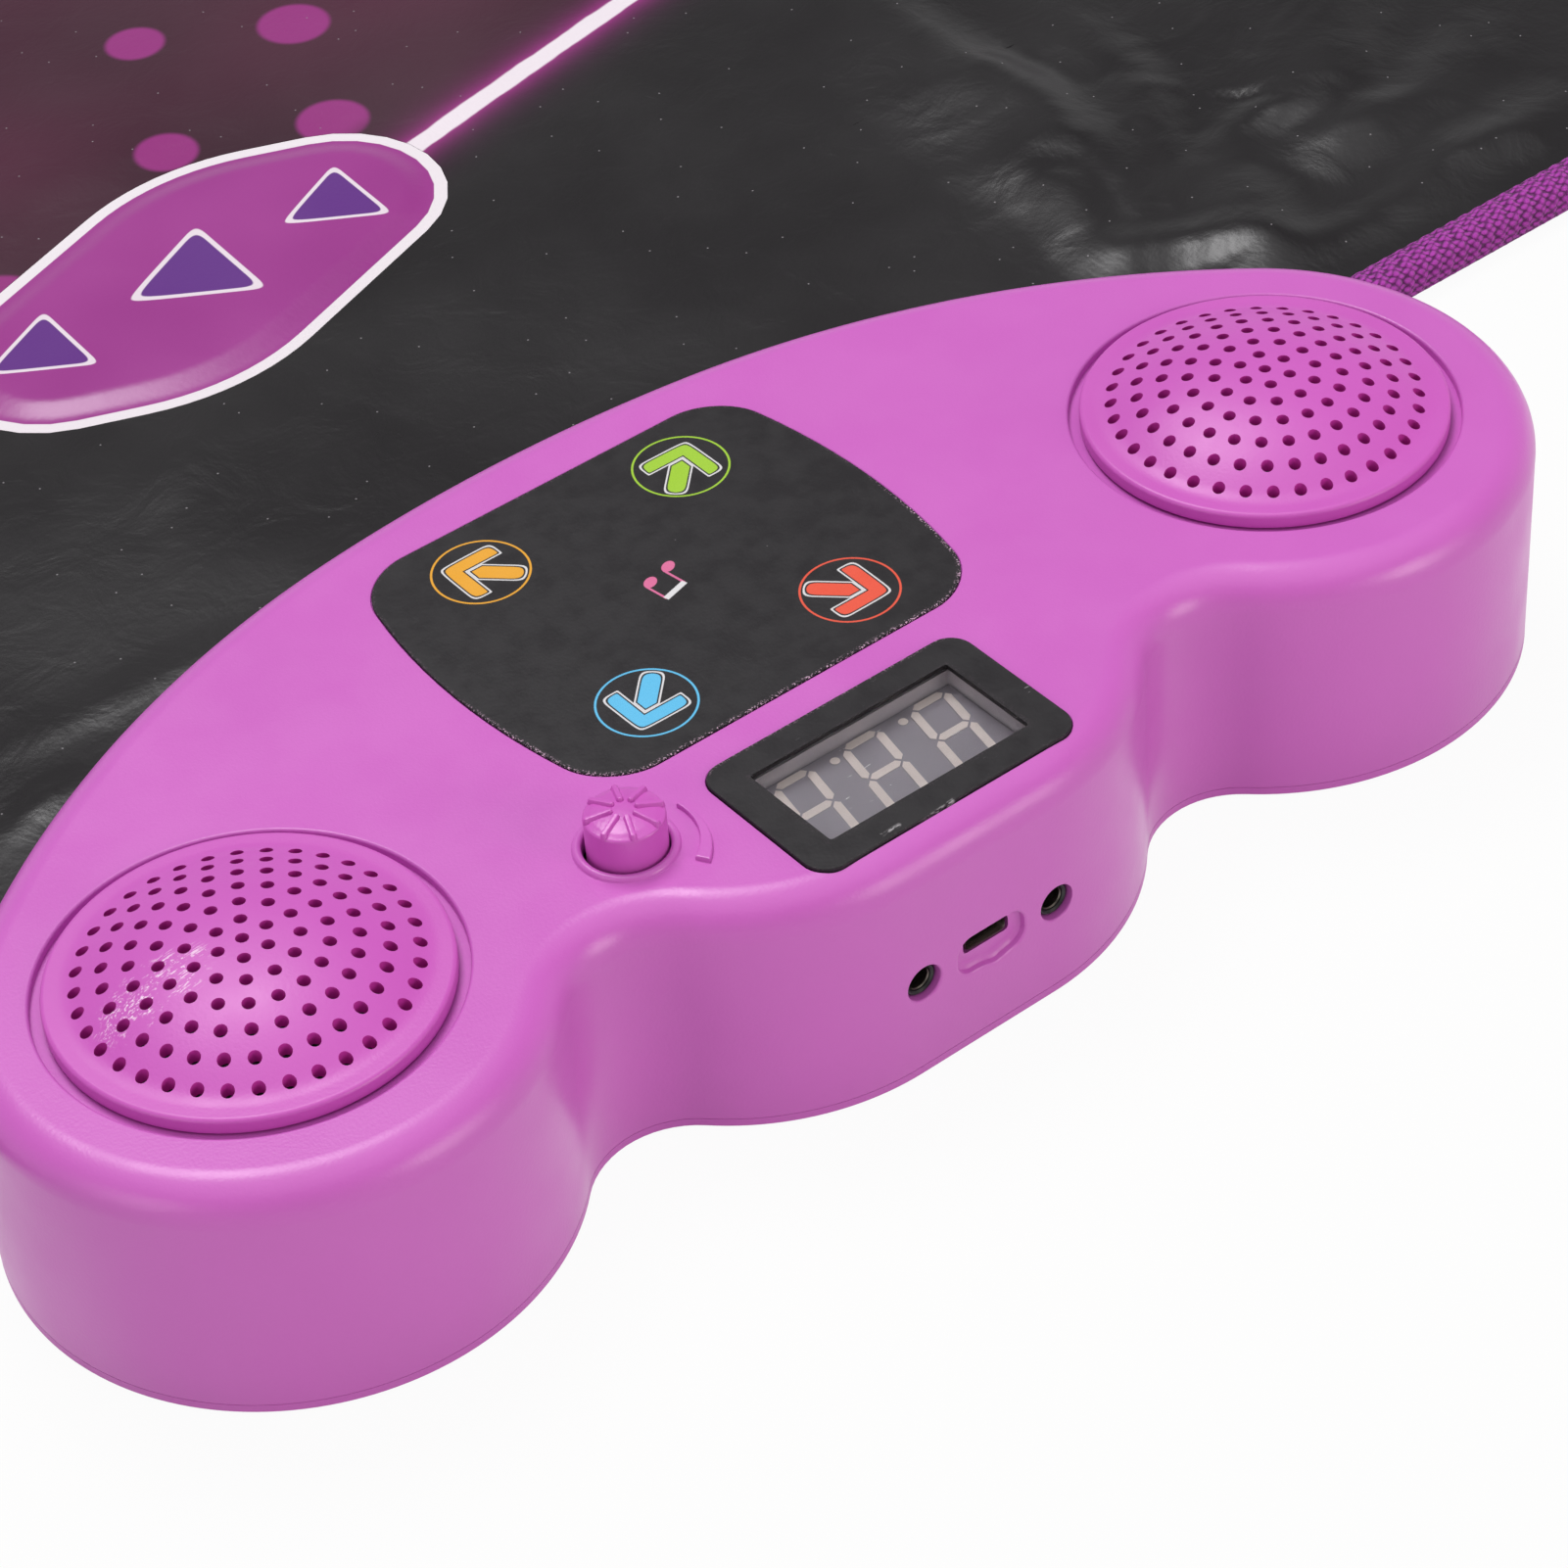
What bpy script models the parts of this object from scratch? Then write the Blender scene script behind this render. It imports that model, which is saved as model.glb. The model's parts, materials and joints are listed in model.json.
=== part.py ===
"""Electronic dance mat: a moulded sound console with two speakers, clamped to a step mat
that folds in three. Metres, +Z up. The origin is the middle of the footprint, on the floor.
The player stands on the mat, on the -Y side; the console lies along the +Y edge."""

from math import atan2, cos, hypot, pi, radians, sin, sqrt

import bmesh
import bpy
from mathutils import Matrix, Vector

# Clearances
GAP = 0.0003                    # between pieces that touch
SLIDE_GAP = 0.0004              # beside pieces that turn or slide

# Console shell
CONSOLE_HEIGHT = 0.042          # floor to the flat top
CONSOLE_WALL = 0.0024
CONSOLE_FILLET = 0.006          # rounded edge between the top and the walls
FILLET_STEPS = 3
SPEAKER_X = 0.0942              # from the middle to each speaker's axis
LOBE_OFFSET = 0.0011            # from a speaker's axis in to the centre of its lobe
LOBE_R = 0.0424                 # end lobes
FRONT_DEPTH = 0.0743            # from the speakers' line to the mat-side edge
FRONT_FLATTENING = 1.29         # how much flatter than one plain arc the mat-side edge is
SHOULDER_R = 0.163              # arcs between the lobes and the mat-side edge
BACK_DEPTH = 0.0428             # from the speakers' line to the back of the middle lobe
BACK_FLAT_HALF = 0.0126         # half the straight stretch of the middle lobe
BACK_CORNER_R = 0.0412          # corners of the middle lobe
WAIST_R = 0.0144                # hollows between the lobes

# Base plate
BASE_CLEARANCE = 0.0005         # its underside above the floor
BASE_WALL = 0.0016
FOOT_R = 0.006
FOOT_PROUD = BASE_CLEARANCE
FOOT_SEAT = 0.0008              # depth of the round seats for the feet
FOOT_X = 0.093
FOOT_BACK_Y = 0.028
FOOT_FRONT_Y = -0.035

# Mat layers, from the floor up
BASE_SHEET_T = 0.0009
CORE_T = 0.003
TOP_SHEET_T = 0.0006
BINDING_T = 0.0006              # binding tape, where it lies on the top sheet
BINDING_WEB = 0.0009            # binding tape, round the outer edge
BINDING_WIDTH = 0.008

# Mat plan
MAT_WIDTH = 0.9
MAT_LENGTH = 0.8
MAT_CORNER_R = 0.025
TUCK = 0.045                    # from the speakers' line to the mat's edge, under the console
FOLD_GAP = 0.0006               # between two panels at a fold
FOLD_UNDER = 0.0005             # first fold's axis, below the mat
FOLD_OVER = 0.0005              # second fold's axis, above the highest pad

# Step pads
PAD_PROUD = 0.0012              # above the top sheet
PAD_TRAVEL = 0.0012
PAD_WIDTH = 0.2
PAD_HEIGHT = 0.196
PAD_CORNER_R = 0.03
PAD_FROM_EDGE = 0.16            # from the mat's side to the middle of a pad
START_PAD_X = -0.0173
START_PAD_Y = -0.1938           # from the speakers' line
START_PAD_SIDE = (0.012, 0.0356)    # from its middle to where the long and short sides meet
START_PAD_END = (0.0902, 0.0027)   # and to where they would meet at its end
START_PAD_SIDE_R = 0.0457
START_PAD_END_R = 0.0218

# Speaker grilles
POCKET_R = 0.0302               # seat in the shell, which leaves a groove round the grille
POCKET_DEPTH = 0.0014
GRILLE_R = 0.0285
GRILLE_T = 0.0025
DOME_R = 0.0248
DOME_RISE = 0.0062
SOUND_OPENING_R = 0.026
HOLE_R = 0.00095
HOLE_RINGS = 6
HOLE_PITCH = 0.0039             # between rings
HOLE_SIDES = 5

# Speakers
FRAME_R = 0.0278
FRAME_T = 0.0012
CONE_R = 0.0236
CONE_DEPTH = 0.0085
CONE_T = 0.0006
CONE_NECK_R = 0.0075
CONE_TRAVEL = 0.0005
MAGNET_R = 0.0165
MAGNET_T = 0.008

# Arrow panel on the console
PANEL_HALF_X = 0.0342
PANEL_HALF_Y = 0.0319
PANEL_Y = -0.0294
PANEL_CORNER_R = 0.0083
PANEL_BULGE = 0.0046            # how far the sides bow out
PANEL_T = 0.0004
PANEL_SINK = 0.0005             # depth of its seat
ARROW_X = 0.019
ARROW_BACK_Y = -0.0091
ARROW_FRONT_Y = -0.0502
LIGHT_WELL_R = 0.0062
LED_R = 0.0025
LED_FLANGE_R = 0.0029
LED_FLANGE_T = 0.001

# Display
WINDOW_WIDTH = 0.0364
WINDOW_DEPTH = 0.0183
WINDOW_Y = 0.023
BEZEL_BORDER = 0.0052
BEZEL_SIDE = 0.0058              # its border on the left and right
BEZEL_CORNER_R = 0.004
BEZEL_T = 0.0008
BEZEL_PROUD = 0.0004
GLASS_BORDER = 0.0022           # glass beyond the window, under the bezel
GLASS_T = 0.0006
DIGITS_WIDTH = 0.0376
DIGITS_DEPTH = 0.019
DIGITS_HEIGHT = 0.008
DIGITS_DEEP = 0.0024            # air between the glass and the digits

# Volume control
KNOB_X = 0.0397
KNOB_Y = 0.0135
KNOB_R = 0.006
KNOB_PROUD = 0.0056
KNOB_EDGE = 0.0007
KNOB_RIBS = 8
KNOB_RIB_WIDTH = 0.0008
KNOB_RIB_HEIGHT = 0.0005
KNOB_BOSS_R = 0.0014
KNOB_SKIRT = 0.002              # how far it reaches below the shell's top
COLLAR_WIDTH = 0.0014           # raised ring round the knob's hole
COLLAR_PROUD = 0.0008
SHAFT_R = 0.003
SHAFT_IN_KNOB = 0.0055
POT_R = 0.008
POT_HEIGHT = 0.0065
WEDGE_R = 0.0102                # inner edge of the raised volume mark
WEDGE_WIDTH = 0.0022
WEDGE_PROUD = 0.0006
WEDGE_FROM = radians(190)
WEDGE_TO = radians(124)

# Sockets in the back wall
SOCKET_X = -0.0012               # middle of the row of sockets
SOCKET_Z = 0.0178
JACK_X = 0.01245
JACK_BARREL_R = 0.0027
JACK_BORE_R = 0.00178
JACK_BODY = (0.0075, 0.012, 0.005)
JACK_SETBACK = 0.0007            # behind the wall, which curves away beside them
USB_BODY = (0.0076, 0.008, 0.004)
USB_MOUTH = (0.0069, 0.0045, 0.0019)
USB_RECESS = (0.012, 0.0012, 0.007)

# Circuit boards
CONTROL_BOARD_T = 0.0014
MAIN_BOARD_T = 0.0016
BOARD_EDGE = 0.0008             # from a board's tongue to the shell's inner wall
CONTROL_HALF_X = 0.04
CONTROL_FRONT_Y = -0.061
CONTROL_BACK_Y = 0.0
TONGUE_HALF_X = 0.0245
MAIN_HALF_X = 0.05
MAIN_FRONT_Y = -0.036
MAIN_BACK_Y = 0.018
POST_R = 0.0025
PIN_R = 0.0012
PIN_REACH = 0.0016              # past the board that it holds
RIBBON_WIDTH = 0.012
RIBBON_T = 0.0003
RIBBON_X = 0.035
RIBBON_BEND_R = 0.004
PLUG_HEIGHT = 0.005
PLUG_DEPTH = 0.005

# Batteries
CELL_R = 0.0071
CELL_LENGTH = 0.0492
CELL_TIP_R = 0.0027
CELL_TIP = 0.0012
CELL_COUNT = 3
CONTACT_T = 0.0005
BAY_WALL = 0.0015
BAY_Y = -0.009
DOOR_LEDGE = 0.0025             # how far the door reaches past the bay on each side
DOOR_FRAME = 0.002
DOOR_TAB_WIDTH = 0.008
DOOR_TAB_REACH = 0.002
DOOR_TAB_T = 0.0007
DOOR_TAB_SWING = 0.0014         # room for the tabs inside the door's edge, as it tilts out
DOOR_TAB_X = 0.014
DOOR_LIP_T = 0.0006             # of the base, under the tabs
DOOR_SCREW_END = 0.007          # how far the door reaches past the bay at its screw

# Screws
SCREW_HEAD_R = 0.0028
SCREW_HEAD_T = 0.0012
SCREW_SHANK_R = 0.0014
SCREW_GRIP = 0.012
SCREW_PAD_R = 0.005
SCREW_PAD_T = 0.0024
BOSS_R = 0.0032
SCREW_SPOTS = ((0.058, 0.011), (0.118, -0.0215))
PEG_R = 0.003                   # pegs of the base that pass through the mat
PEG_X = 0.06
PEG_Y = -0.0595

# Levels and places that follow from the sizes above
CORE_Z = BASE_SHEET_T + GAP
TOP_SHEET_Z = CORE_Z + CORE_T + GAP
SHEET_TOP = TOP_SHEET_Z + TOP_SHEET_T
MAT_T = SHEET_TOP + GAP + BINDING_T
PAD_TOP = SHEET_TOP + PAD_PROUD
PAD_BOTTOM = BASE_SHEET_T + GAP + PAD_TRAVEL
TOTAL_DEPTH = BACK_DEPTH + TUCK + MAT_LENGTH
CONSOLE_Y = TOTAL_DEPTH / 2 - BACK_DEPTH
MAT_BACK = CONSOLE_Y - TUCK
MAT_FRONT = MAT_BACK - MAT_LENGTH
FOLD_1 = MAT_BACK - MAT_LENGTH / 3
FOLD_2 = MAT_BACK - 2 * MAT_LENGTH / 3
HIGHEST = max(PAD_TOP, MAT_T)
TOP = CONSOLE_HEIGHT
UNDER_TOP = TOP - CONSOLE_WALL
FLOOR_TOP = BASE_CLEARANCE + BASE_WALL
STEP_UNDER = MAT_T + GAP
STEP_TOP = STEP_UNDER + BASE_WALL
RISER_FRONT = -TUCK + 2 * GAP
RISER_BACK = RISER_FRONT + BASE_WALL
DISPLAY_TOP = TOP - BEZEL_T + BEZEL_PROUD - GLASS_T - 2 * GAP - DIGITS_DEEP
CONTROL_TOP = DISPLAY_TOP - DIGITS_HEIGHT - GAP
MAIN_UNDER = SOCKET_Z + JACK_BODY[2] / 2 + GAP
BAY_WIDTH = 2 * CELL_COUNT * (CELL_R + GAP)
BAY_LENGTH = CELL_LENGTH + CELL_TIP + 2 * (CONTACT_T + 2 * GAP)
BAY_TOP = FLOOR_TOP + 2 * GAP + 2 * CELL_R
FAR = 1.0                       # reach of a cutter that only has to clear the part

MATERIALS = {
    "purple_plastic": ((0.66, 0.15, 0.55), 0.38, 0.0),
    "black_film": ((0.012, 0.011, 0.014), 0.45, 0.0),
    "black_plastic": ((0.014, 0.013, 0.016), 0.3, 0.0),
    "clear_plastic": ((0.75, 0.76, 0.78), 0.1, 0.0),
    "grey_plastic": ((0.3, 0.29, 0.28), 0.5, 0.0),
    "white_plastic": ((0.7, 0.68, 0.62), 0.45, 0.0),
    "board_green": ((0.02, 0.14, 0.05), 0.5, 0.0),
    "steel": ((0.55, 0.55, 0.56), 0.35, 1.0),
    "cell_wrap": ((0.05, 0.06, 0.09), 0.4, 0.3),
    "paper_cone": ((0.03, 0.03, 0.03), 0.85, 0.0),
    "rubber": ((0.02, 0.02, 0.02), 0.85, 0.0),
    "black_vinyl": ((0.02, 0.02, 0.022), 0.5, 0.0),
    "backing_cloth": ((0.03, 0.03, 0.035), 0.9, 0.0),
    "foam": ((0.72, 0.72, 0.7), 0.9, 0.0),
    "purple_tape": ((0.32, 0.05, 0.3), 0.8, 0.0),
    "led_red": ((0.7, 0.06, 0.04), 0.3, 0.0),
    "led_blue": ((0.05, 0.4, 0.75), 0.3, 0.0),
    "led_yellow": ((0.8, 0.4, 0.03), 0.3, 0.0),
    "led_green": ((0.3, 0.6, 0.08), 0.3, 0.0),
    "pad_red": ((0.6, 0.05, 0.05), 0.5, 0.0),
    "pad_blue": ((0.04, 0.3, 0.6), 0.5, 0.0),
    "pad_yellow": ((0.7, 0.33, 0.03), 0.5, 0.0),
    "pad_green": ((0.25, 0.5, 0.06), 0.5, 0.0),
    "pad_purple": ((0.2, 0.03, 0.2), 0.5, 0.0),
}


# Scene and materials

def clear_scene():
    for old in list(bpy.data.objects):
        bpy.data.objects.remove(old, do_unlink=True)


def new_collection(name):
    collection = bpy.data.collections.new(name)
    bpy.context.scene.collection.children.link(collection)
    return collection


def get_material(name):
    material = bpy.data.materials.get(name)
    if material is None:
        color, roughness, metallic = MATERIALS[name]
        material = bpy.data.materials.new(name)
        material.use_nodes = True
        shader = material.node_tree.nodes["Principled BSDF"]
        shader.inputs["Base Color"].default_value = (*color, 1.0)
        shader.inputs["Roughness"].default_value = roughness
        shader.inputs["Metallic"].default_value = metallic
        material.diffuse_color = (*color, 1.0)
    return material


clear_scene()
PARTS = new_collection("electronic_dance_mat")
CUTTERS = new_collection("cutters")


def add_frame(name, location):
    """An empty that a group of pieces is placed from."""
    frame = bpy.data.objects.new(name, None)
    frame.location = location
    PARTS.objects.link(frame)
    return frame


def add_piece(name, mesh, material, parent=None, location=(0, 0, 0), smooth=True):
    piece = bpy.data.objects.new(name, mesh)
    mesh.name = name
    mesh.materials.append(get_material(material))
    if smooth:
        mesh.shade_smooth()
        mesh.set_sharp_from_angle(angle=radians(35))
    piece.location = location
    piece.parent = parent
    PARTS.objects.link(piece)
    return piece


def add_tool(name, mesh, parent=None, location=(0, 0, 0)):
    """A shape that is only cut out of, or joined to, another piece."""
    tool = bpy.data.objects.new(name, mesh)
    tool.location = location
    tool.parent = parent
    tool.display_type = "WIRE"
    tool.hide_render = True
    CUTTERS.objects.link(tool)
    return tool


def combine(piece, tool, operation="DIFFERENCE"):
    boolean = piece.modifiers.new(tool.name, "BOOLEAN")
    boolean.operation = operation
    boolean.solver = "EXACT"
    boolean.object = tool


# Flat outlines

def arc_points(center, radius, start, end, steps):
    """Points of an arc, both ends included."""
    return [(center[0] + radius * cos(start + (end - start) * i / steps),
             center[1] + radius * sin(start + (end - start) * i / steps))
            for i in range(steps + 1)]


def direction(a, b):
    return atan2(b[1] - a[1], b[0] - a[0])


def meeting_point(a, radius_a, b, radius_b, side):
    """Where a circle round a meets one round b, on the side that is asked for."""
    span = hypot(b[0] - a[0], b[1] - a[1])
    along = (span ** 2 + radius_a ** 2 - radius_b ** 2) / (2 * span)
    across = side * sqrt(max(radius_a ** 2 - along ** 2, 0.0))
    ux, uy = (b[0] - a[0]) / span, (b[1] - a[1]) / span
    return (a[0] + ux * along - uy * across, a[1] + uy * along + ux * across)


def console_outline(inset=0.0):
    """Outline of the console, seen from above: arcs that run smoothly into each other.
    An inset draws it that much further in."""
    lobe = (SPEAKER_X - LOBE_OFFSET, 0.0)
    corner = (BACK_FLAT_HALF, BACK_DEPTH - BACK_CORNER_R)
    waist = meeting_point(corner, BACK_CORNER_R + WAIST_R, lobe, LOBE_R + WAIST_R, 1)
    plain_arc = ((lobe[0] ** 2 + FRONT_DEPTH ** 2 - LOBE_R ** 2)
                 / (2 * (FRONT_DEPTH - LOBE_R)))
    front_r = plain_arc * FRONT_FLATTENING
    front = (0.0, front_r - FRONT_DEPTH)
    shoulder = meeting_point(lobe, SHOULDER_R - LOBE_R, front, front_r - SHOULDER_R, 1)
    lobe_end = direction(shoulder, lobe)
    shoulder_end = direction(front, shoulder)
    half = arc_points(corner, BACK_CORNER_R - inset, pi / 2, direction(corner, waist), 6)
    half += arc_points(waist, WAIST_R + inset, direction(waist, corner),
                       direction(waist, lobe), 5)[1:]
    half += arc_points(lobe, LOBE_R - inset, direction(lobe, waist), lobe_end, 14)[1:]
    half += arc_points(shoulder, SHOULDER_R - inset, lobe_end, shoulder_end, 6)[1:]
    half += arc_points(front, front_r - inset, shoulder_end, -pi / 2, 5)[1:]
    mirrored = [(-x, y) for x, y in half[-2::-1]]
    return half + mirrored


def rounded_rectangle(half_x, half_y, radius, center=(0.0, 0.0), steps=4):
    points = []
    for turn, (sx, sy) in enumerate(((1, 1), (-1, 1), (-1, -1), (1, -1))):
        middle = (center[0] + sx * (half_x - radius), center[1] + sy * (half_y - radius))
        points += arc_points(middle, radius, turn * pi / 2, (turn + 1) * pi / 2, steps)
    return points


def bowed_rectangle(half_x, half_y, radius, bulge, center, inset=0.0):
    """A rounded rectangle whose left and right sides bow out a little."""
    points = rounded_rectangle(half_x - inset, half_y - inset, radius - inset, center)
    side = half_y - radius
    bowed = []
    for x, y in points:
        level = max(0.0, 1.0 - ((y - center[1]) / half_y) ** 2)
        bowed.append((x + (1 if x > center[0] else -1) * bulge * level, y))
    middles = [(center[0] + (half_x - inset + bulge * (1.0 - (t * side / half_y) ** 2)),
                center[1] + t * side) for t in (-0.5, 0.0, 0.5)]
    right = [p for p in middles]
    left = [(2 * center[0] - x, y) for x, y in reversed(middles)]
    quarter = len(points) // 4
    return right + bowed[:2 * quarter] + left + bowed[2 * quarter:]


def circle(radius, center=(0.0, 0.0), sides=24, turn=0.0):
    return [(center[0] + radius * cos(turn + 2 * pi * i / sides),
             center[1] + radius * sin(turn + 2 * pi * i / sides)) for i in range(sides)]


def corner_arc(before, corner, after, radius, grow, steps=6):
    """The rounding of one corner of a shape, drawn out further by the growth."""
    back = (Vector(before) - Vector(corner)).normalized()
    ahead = (Vector(after) - Vector(corner)).normalized()
    center = Vector(corner) + (back + ahead).normalized() * radius / sin(back.angle(ahead) / 2)
    start = atan2(-back.x, back.y) + pi
    end = atan2(-ahead.x, ahead.y)
    while end < start:
        end += 2 * pi
    while end - start > 2 * pi:
        end -= 2 * pi
    return arc_points(center, radius + grow, start, end, steps)


def start_pad_outline(grow=0.0):
    """A slanted lozenge with well rounded ends."""
    side = Vector(START_PAD_SIDE)
    end = Vector(START_PAD_END)
    place = Vector((START_PAD_X, CONSOLE_Y + START_PAD_Y))
    corners = ((end, START_PAD_END_R), (side, START_PAD_SIDE_R),
               (-end, START_PAD_END_R), (-side, START_PAD_SIDE_R))
    points = []
    for i, (corner, radius) in enumerate(corners):
        before = place + corners[i - 1][0]
        after = place + corners[(i + 1) % 4][0]
        points += corner_arc(before, place + corner, after, radius, grow)
    return points


def shift(points, dx, dy):
    return [(x + dx, y + dy) for x, y in points]


# Solids

def make_mesh(bm, name="shape"):
    bmesh.ops.recalc_face_normals(bm, faces=bm.faces)
    mesh = bpy.data.meshes.new(name)
    bm.to_mesh(mesh)
    bm.free()
    return mesh


def add_loop(bm, points, z):
    verts = [bm.verts.new((x, y, z)) for x, y in points]
    return [bm.edges.new((verts[i], verts[(i + 1) % len(verts)])) for i in range(len(verts))]


def plate_mesh(outline, z_low, z_high, holes=()):
    """A flat plate of one thickness, with holes right through it."""
    bm = bmesh.new()
    if holes:
        edges = add_loop(bm, outline, z_low)
        for hole in holes:
            edges += add_loop(bm, hole, z_low)
        bmesh.ops.triangle_fill(bm, edges=edges, use_beauty=True)
    else:
        bm.faces.new([bm.verts.new((x, y, z_low)) for x, y in outline])
    walls = bmesh.ops.extrude_face_region(bm, geom=bm.faces[:])
    raised = [v for v in walls["geom"] if isinstance(v, bmesh.types.BMVert)]
    bmesh.ops.translate(bm, verts=raised, vec=(0, 0, z_high - z_low))
    return make_mesh(bm)


def box_mesh(size, center):
    bm = bmesh.new()
    bmesh.ops.create_cube(bm, size=1.0)
    bmesh.ops.scale(bm, vec=size, verts=bm.verts)
    bmesh.ops.translate(bm, vec=center, verts=bm.verts)
    return make_mesh(bm)


def span_box(low, high):
    """A box between two corners."""
    size = [b - a for a, b in zip(low, high)]
    center = [(a + b) / 2 for a, b in zip(low, high)]
    return box_mesh(size, center)


def rod_mesh(radius, z_low, z_high, sides=20, center=(0.0, 0.0)):
    bm = bmesh.new()
    bmesh.ops.create_cone(bm, cap_ends=True, segments=sides, radius1=radius, radius2=radius,
                          depth=z_high - z_low)
    bmesh.ops.translate(bm, verts=bm.verts, vec=(*center, (z_low + z_high) / 2))
    return make_mesh(bm)


def joined(meshes):
    """Several loose shapes in one mesh."""
    bm = bmesh.new()
    for mesh in meshes:
        bm.from_mesh(mesh)
        bpy.data.meshes.remove(mesh)
    mesh = bpy.data.meshes.new("shapes")
    bm.to_mesh(mesh)
    bm.free()
    return mesh


def turned_mesh(profile):
    """The profile of a turned shape, for a Screw modifier: radius and height pairs that run
    from the top, down the outer side."""
    bm = bmesh.new()
    verts = [bm.verts.new((radius, 0.0, z)) for radius, z in profile]
    for a, b in zip(verts, verts[1:]):
        bm.edges.new((a, b))
    if profile[0][0] > 0.0:
        bm.edges.new((verts[-1], verts[0]))
    mesh = bpy.data.meshes.new("profile")
    bm.to_mesh(mesh)
    bm.free()
    return mesh


def spin(piece, steps):
    screw = piece.modifiers.new("turn", "SCREW")
    screw.steps = steps
    screw.render_steps = steps
    screw.use_merge_vertices = True
    screw.merge_threshold = 0.00002
    screw.use_smooth_shade = True
    return piece


# Console shell and base

def make_top_shell(console):
    bm = bmesh.new()
    top = bm.faces.new([bm.verts.new((x, y, TOP)) for x, y in console_outline()])
    rim = list(top.edges)
    walls = bmesh.ops.extrude_edge_only(bm, edges=rim)
    lowered = [v for v in walls["geom"] if isinstance(v, bmesh.types.BMVert)]
    bmesh.ops.translate(bm, verts=lowered, vec=(0, 0, FLOOR_TOP + GAP - TOP))
    bmesh.ops.bevel(bm, geom=rim, offset=CONSOLE_FILLET, segments=FILLET_STEPS,
                    profile=0.5, affect="EDGES")
    shell = add_piece("console_top_shell", make_mesh(bm), "purple_plastic", console)
    wall = shell.modifiers.new("wall", "SOLIDIFY")
    wall.thickness = CONSOLE_WALL
    wall.offset = -1.0
    wall.use_even_offset = True
    return shell


def add_shell_bosses(shell, console):
    """Screw bosses, board posts with their pins, and the collar and mark of the knob."""
    anchor = TOP - CONSOLE_WALL / 2
    boss_low = FLOOR_TOP + SCREW_PAD_T + GAP
    shapes = [rod_mesh(BOSS_R, boss_low, anchor, 12, (side * x, y))
              for x, y in SCREW_SPOTS for side in (-1, 1)]
    shapes += [rod_mesh(POST_R, CONTROL_TOP + GAP, anchor, 10, spot) for spot in CONTROL_POSTS]
    add = add_tool("shell_bosses", joined(shapes), console)
    combine(shell, add, "UNION")
    pins = [rod_mesh(PIN_R, CONTROL_TOP - CONTROL_BOARD_T - PIN_REACH, CONTROL_TOP + 2 * POST_R,
                     8, spot) for spot in CONTROL_POSTS]
    combine(shell, add_tool("shell_pins", joined(pins), console), "UNION")
    outer = COLLAR_INNER_R + COLLAR_WIDTH
    collar = plate_mesh(circle(outer, (KNOB_X, KNOB_Y)), anchor, TOP + COLLAR_PROUD)
    mark = plate_mesh(wedge_outline(), anchor, TOP + WEDGE_PROUD)
    combine(shell, add_tool("knob_collar", joined([collar, mark]), console), "UNION")


def wedge_outline():
    """A tapered arc beside the knob, thin at the quiet end."""
    steps = 6
    center = (KNOB_X, KNOB_Y)
    inner = arc_points(center, WEDGE_R, WEDGE_FROM, WEDGE_TO, steps)
    outer = []
    for i in range(steps + 1):
        angle = WEDGE_FROM + (WEDGE_TO - WEDGE_FROM) * i / steps
        width = WEDGE_WIDTH * (0.12 + 0.88 * i / steps)
        outer.append((center[0] + (WEDGE_R + width) * cos(angle),
                      center[1] + (WEDGE_R + width) * sin(angle)))
    return inner + outer[::-1]


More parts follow.
